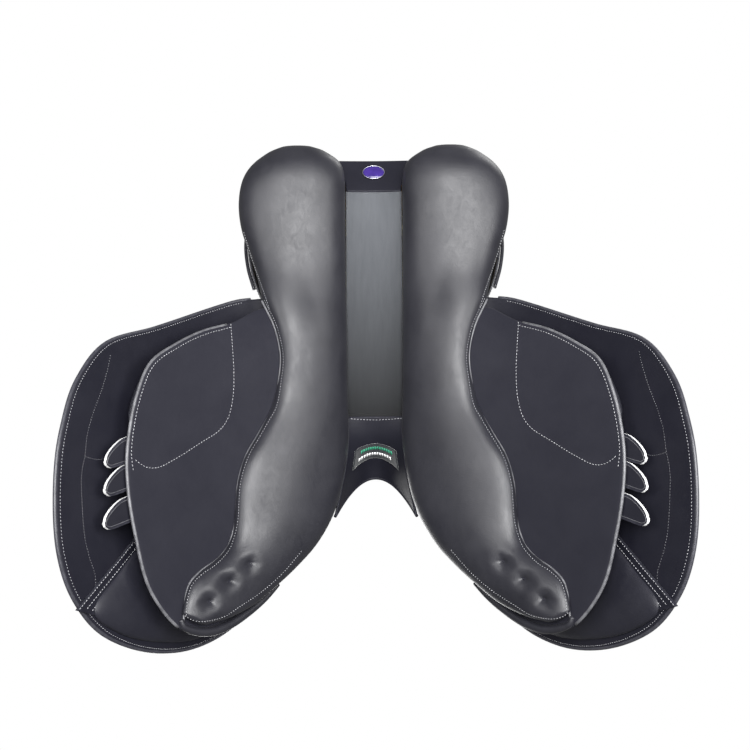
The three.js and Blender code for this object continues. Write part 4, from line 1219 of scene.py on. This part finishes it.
patch_edge = smooth_line(SWEAT_OUTLINE[:6] + [(253.5, -100)], 90)
inside_edge = scaled(patch_edge, SWEAT_CENTRE, 0.965)
add_pair("sweat_flap_stitching", stitches_on(sweat_face, [PATCH_LINE, inside_edge]), thread)
sweat_rim = scaled(sweat_plan, SWEAT_CENTRE, 0.997)
rim_keep = np.array([x > 150 and -275 < y < 60 and not (x < 205 and y < -262) for x, y in sweat_rim])
start = np.flatnonzero(rim_keep & ~np.roll(rim_keep, 1))[0]
rim_run = np.roll(sweat_rim, -start, axis=0)[:int(rim_keep.sum())]
rim_points = lifted(sweat_surface, *rim_run.T, SWEAT_THICKNESS / 2)
add_pair("sweat_flap_edge", tube(rim_points, 1.8, 10), edge_paint)

flap_edge_points = lifted(flap_surface, *flap_line.T, FLAP_THICKNESS / 2)
# The flap binding's paler colour is a painted highlight.
add_pair("flap_binding", tube(flap_edge_points[2:-2], 2.1, 12), binding_leather_painted_highlight, "flap")
inner_edge = parallel(flap_line, -2.7)
edge_threads = stitches_on(flap_face, [inner_edge[4:-16:3]], length=1.9, gap=1.5, radius=0.27)
add_pair("flap_edge_stitching", edge_threads, thread, "flap")
flap_threads = stitches_on(flap_face, FLAP_LINES, length=1.8, gap=1.2, radius=0.24)
add_pair("flap_stitching", flap_threads, faint_thread, "flap")

band_axis = unit(BAND_END - BAND_START)
band_side = np.array([-band_axis[1], band_axis[0]])
band_rows = [[BAND_START + side * band_side + t * (BAND_END - BAND_START) for t in np.linspace(0, 1, 12)]
             for side in (-5, 0, 5)]


def band_grid(offset):
    rows = []
    for t in np.linspace(0, 1, 50):
        centre = BAND_START + t * (BAND_END - BAND_START)
        across = np.array([centre + w * band_side for w in np.linspace(-8, 8, 9)])
        rows.append(lifted(flap_surface, *across.T, offset))
    return np.array(rows)


band = slab(band_grid(-0.4), band_grid(-2.2))
add_pair("knee_pad_band", band, flap_leather_painted_shade, "flap")
add_pair("knee_pad_stitching", stitches_on(surface_of(band), band_rows), thread, "flap")

# ---------- front lobe: rolled lip and seam ----------

lip_line = smooth_line(LIP_LINE, 80)
lip_path = np.column_stack([lip_line, sweat_surface(*lip_line.T) - 2.0])
lip_radius = LIP_RADIUS * (0.35 + 0.65 * np.sin(np.linspace(0.12, math.pi - 0.05, 80)) ** 0.7)
lip_rings = tube(lip_path, 1.0, 20)[0][:-2].reshape(80, 20, 3)
lip_rings = lip_path[:, None] + (lip_rings - lip_path[:, None]) * lip_radius[:, None, None]
add_pair("panel_lip", ring_body(lip_rings), panel_leather, "saddle")
add_pair("panel_front_stitching", stitches_on(panel_face, [FRONT_SEAM], length=1.5, gap=1.7), thread)

# ---------- front facing trim, label and badge ----------

facing_row = [(-33, -52), (-16, -53.5), (0, -54), (16, -53.5), (33, -52)]
add_piece("facing_stitching", stitches_on(front_face, [facing_row]), thread)
arch_rim = arch_grid((-1, 1), (1, 1), 70, 1, 0)[0]
add_piece("facing_edge", tube(arch_rim, 1.9, 12, upright=(0, 0, 1)), flap_leather_painted_shade)

add_piece("label_patch", slab(arch_grid((-0.74, 0.74), (0.41, 0.65), 40, 14, -1.2),
                              arch_grid((-0.74, 0.74), (0.41, 0.65), 40, 14, -2.4)),
          label_cloth, "saddle", ["front_label"])
label_rows = (("label_green_band", label_green, (0.455, 0.500), -0.60, 0.56, 14),
              ("label_white_band", label_white, (0.550, 0.592), -0.54, 0.62, 13))
for name, material, v_range, first, last, count in label_rows:
    step = (last - first) / count
    spans = [(first + i * step, first + (i + 0.68) * step) for i in range(count)]
    blocks = [slab(arch_grid(span, v_range, 3, 3, -2.1), arch_grid(span, v_range, 3, 3, -2.75))
              for span in spans]
    add_piece(name, joined(blocks), material, "saddle")


def badge_ring(scale, rise):
    turn = np.linspace(0, 2 * math.pi, 56, endpoint=False)
    middle = np.array([0, REAR_FACING_Y + REAR_FACING_RUN * BADGE_PLACE, rear_facing_middle(BADGE_PLACE)])
    oval = np.stack([13 * np.cos(turn), 8.54 * np.sin(turn), 5.2 * np.sin(turn)], axis=1)
    return middle + scale * oval + rise * REAR_FACING_OUT


badge = ring_body([badge_ring(*r) for r in ((0.9, 1.0), (1.0, 1.2), (1.0, 2.6), (0.93, 3.3), (0.75, 4.0),
                                            (0.5, 4.4), (0.2, 4.6))])
add_piece("badge_enamel", badge, enamel, "saddle", ["rear_badge"])
badge_rim = tube(badge_ring(1.02, 2.4), 0.45, 10, REAR_FACING_OUT, closed=True)
add_piece("badge_rim", badge_rim, steel, "saddle")

# ---------- girth straps and webs ----------

strap_rear = profile([(0, 13), (0.62, 13), (0.75, 10.5), (0.86, 6.6), (0.94, 2.6), (0.98, -0.6), (1, -3.2)])
strap_front = profile([(0, 13), (0.62, 13), (0.86, 13), (0.94, 12.7), (0.98, 11.2), (1, 9.2)])


def strap_frame(root_y, x):
    """Where a strap lies on the sweat flap: point, and directions along, across and off the surface."""
    def on_line(at):
        y = root_y + STRAP_SLOPE * (at - STRAP_ROOT_X)
        return np.array([at, y, float(sweat_surface(at, y))])
    point = on_line(x)
    along = unit(on_line(x + 1) - point)
    normal = lifted(sweat_surface, point[0], point[1], 1.0) - point
    across = unit(np.cross(normal, along))
    return point, along, across, np.cross(along, across)


def strap_stations(root_y):
    """Centre, across, normal, rear and front half-width at each station, root to tip."""
    stations = []
    for x in np.linspace(STRAP_ROOT_X, STRAP_FLAT_FROM_X, 30):
        point, along, across, normal = strap_frame(root_y, x)
        stations.append((point, across, normal, STRAP_HALF_WIDTH, STRAP_HALF_WIDTH))
    shares = np.concatenate([np.linspace(0.04, 0.6, 12), 1 - 0.4 * (1 - np.linspace(0.08, 1, 16)) ** 1.5])
    for share in shares:
        place = point + along * share * STRAP_FLAT_LENGTH
        stations.append((place, across, normal, float(strap_rear(share)), float(strap_front(share))))
    for turn in (0.5, 0.9, 1.2, 1.4):
        place = point + along * (STRAP_FLAT_LENGTH + 1.3 * math.sin(turn))
        half = 3.0 * math.cos(turn)
        stations.append((place, across, normal, half - 6.2, 6.2 + half))
    return stations


def strap_grid(stations, offset, inset=0.0, columns=7):
    return np.array([[centre + across * w + normal * offset
                      for w in np.linspace(-front + inset, rear - inset, columns)]
                     for centre, across, normal, rear, front in stations])


for place, root_y in STRAP_ROOTS.items():
    stations = strap_stations(root_y)
    strap = slab(strap_grid(stations, STRAP_GAP + STRAP_THICKNESS), strap_grid(stations, STRAP_GAP))
    strap_pieces = add_pair(f"girth_billet_{place}", strap, strap_leather, f"girth_strap_{place}",
                            [f"girth_strap_{place}"], smooth=False)
    rim_faces = 2 * (len(stations) + 7) - 4
    _, along, across, normal = strap_frame(root_y, STRAP_FLAT_FROM_X)
    flat_point = stations[29][0]
    holes = [flat_point + along * (STRAP_FLAT_LENGTH - 42 - STRAP_HOLE_SPACING * i) + normal * (STRAP_GAP + 2)
             for i in range(3)]
    for piece, sign in zip(strap_pieces, (1, -1)):
        total = len(piece.data.polygons)
        second_material(piece, white_edge, range(total - rim_faces, total))
        mirror = np.array([sign, 1, 1])
        drilled(piece, [hole * mirror for hole in holes], [normal * mirror] * 3, 2.3, 6)
    crease_stations = stations[4:-3]
    front_edge, rear_edge = strap_grid(crease_stations, STRAP_GAP - 0.05, 3.0, 2).transpose(1, 0, 2)
    crease = tube(np.vstack([rear_edge, front_edge[::-1]]), 0.28, 6)
    add_pair(f"billet_crease_{place}", crease, edge_paint, f"girth_strap_{place}")


def web_grid(y, width, offset):
    line = smooth_line([(74, 11), (86, 8), (98, 1), (109, -9), (117, -20), (121, -27)], 40)
    return np.array([[(x, y + side * width + STRAP_SLOPE * (x - STRAP_ROOT_X), z + offset)
                      for side in np.linspace(-0.5, 0.5, 12)] for x, z in line])


for name, y, width in WEB_SIZES:
    web_mesh = slab(web_grid(y, width, 2), web_grid(y, width, 0))
    webs = add_pair(f"girth_webbing_{name}", web_mesh, web_cloth, "saddle", [f"girth_web_{name}"])

# ---------- metalwork and small leather ----------


def dee_path(x, y, z):
    straight = [(x + step, y, z) for step in np.linspace(-9, 9, 7)]
    turns = np.linspace(0, math.pi, 19)
    bow = [(x + 10 * math.cos(a), y, z - 7 - 11 * math.sin(a)) for a in turns]
    return smooth_line(straight + bow, 90, closed=True)


for name, x, y, z in DEE_PLACES:
    add_pair(f"{name}_ring", tube(dee_path(x, y, z), 1.75, 14, (0, 1, 0), closed=True), steel, f"{name}_dee",
             [f"{name}_dee"])


def keeper_grid(offset):
    rows = []
    for u in np.linspace(-1, 1, 49):
        rise = FLAP_THICKNESS + 0.5 + 10 * (1 - u ** 4)
        x = 258 + np.linspace(-8, 8, 7)
        rows.append(lifted(flap_surface, x, np.full(7, -45 + 30 * u), np.full(7, rise + offset)))
    return np.array(rows)


keeper = slab(keeper_grid(2.2), keeper_grid(0))
add_pair("keeper_loop", keeper, strap_leather, "flap", ["leather_keeper"])
keeper_face = surface_of(keeper)
keeper_rows = []
for side in (252.4, 263.6):
    row, row_up = laid([(side, y) for y in np.linspace(-70, -20, 60)], keeper_face, from_below=False)
    keeper_rows.append(stitch_row(row, row_up))
add_pair("keeper_stitching", joined(keeper_rows), thread, "flap")

# The rest of the CAD pieces stay as they are, with their own materials and softened edges.
SHOWN = {
    "seat_foam": foam, "tree": wood, "seat_web_front": web_cloth, "seat_web_middle": web_cloth,
    "seat_web_rear": web_cloth, "head_plate": steel,
}
SHOWN_PAIRS = {
    "point_pocket": flap_leather_painted_shade, "stirrup_bar": steel, "bar_catch": steel, "front_dee_tab": strap_leather,
    "rear_dee_tab": strap_leather, "saddle_nail": steel,
}
for pair, material in SHOWN_PAIRS.items():
    SHOWN.update({f"{pair}_{side}": material for side in ("left", "right")})
for node, material in SHOWN.items():
    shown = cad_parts[node]
    shown.data.materials.clear()
    shown.data.materials.append(material)
    edge = shown.modifiers.new("soft_edges", "BEVEL")
    edge.width = 0.45 * MM
    edge.segments = 2
    edge.limit_method = "ANGLE"
    edge.angle_limit = math.radians(40)
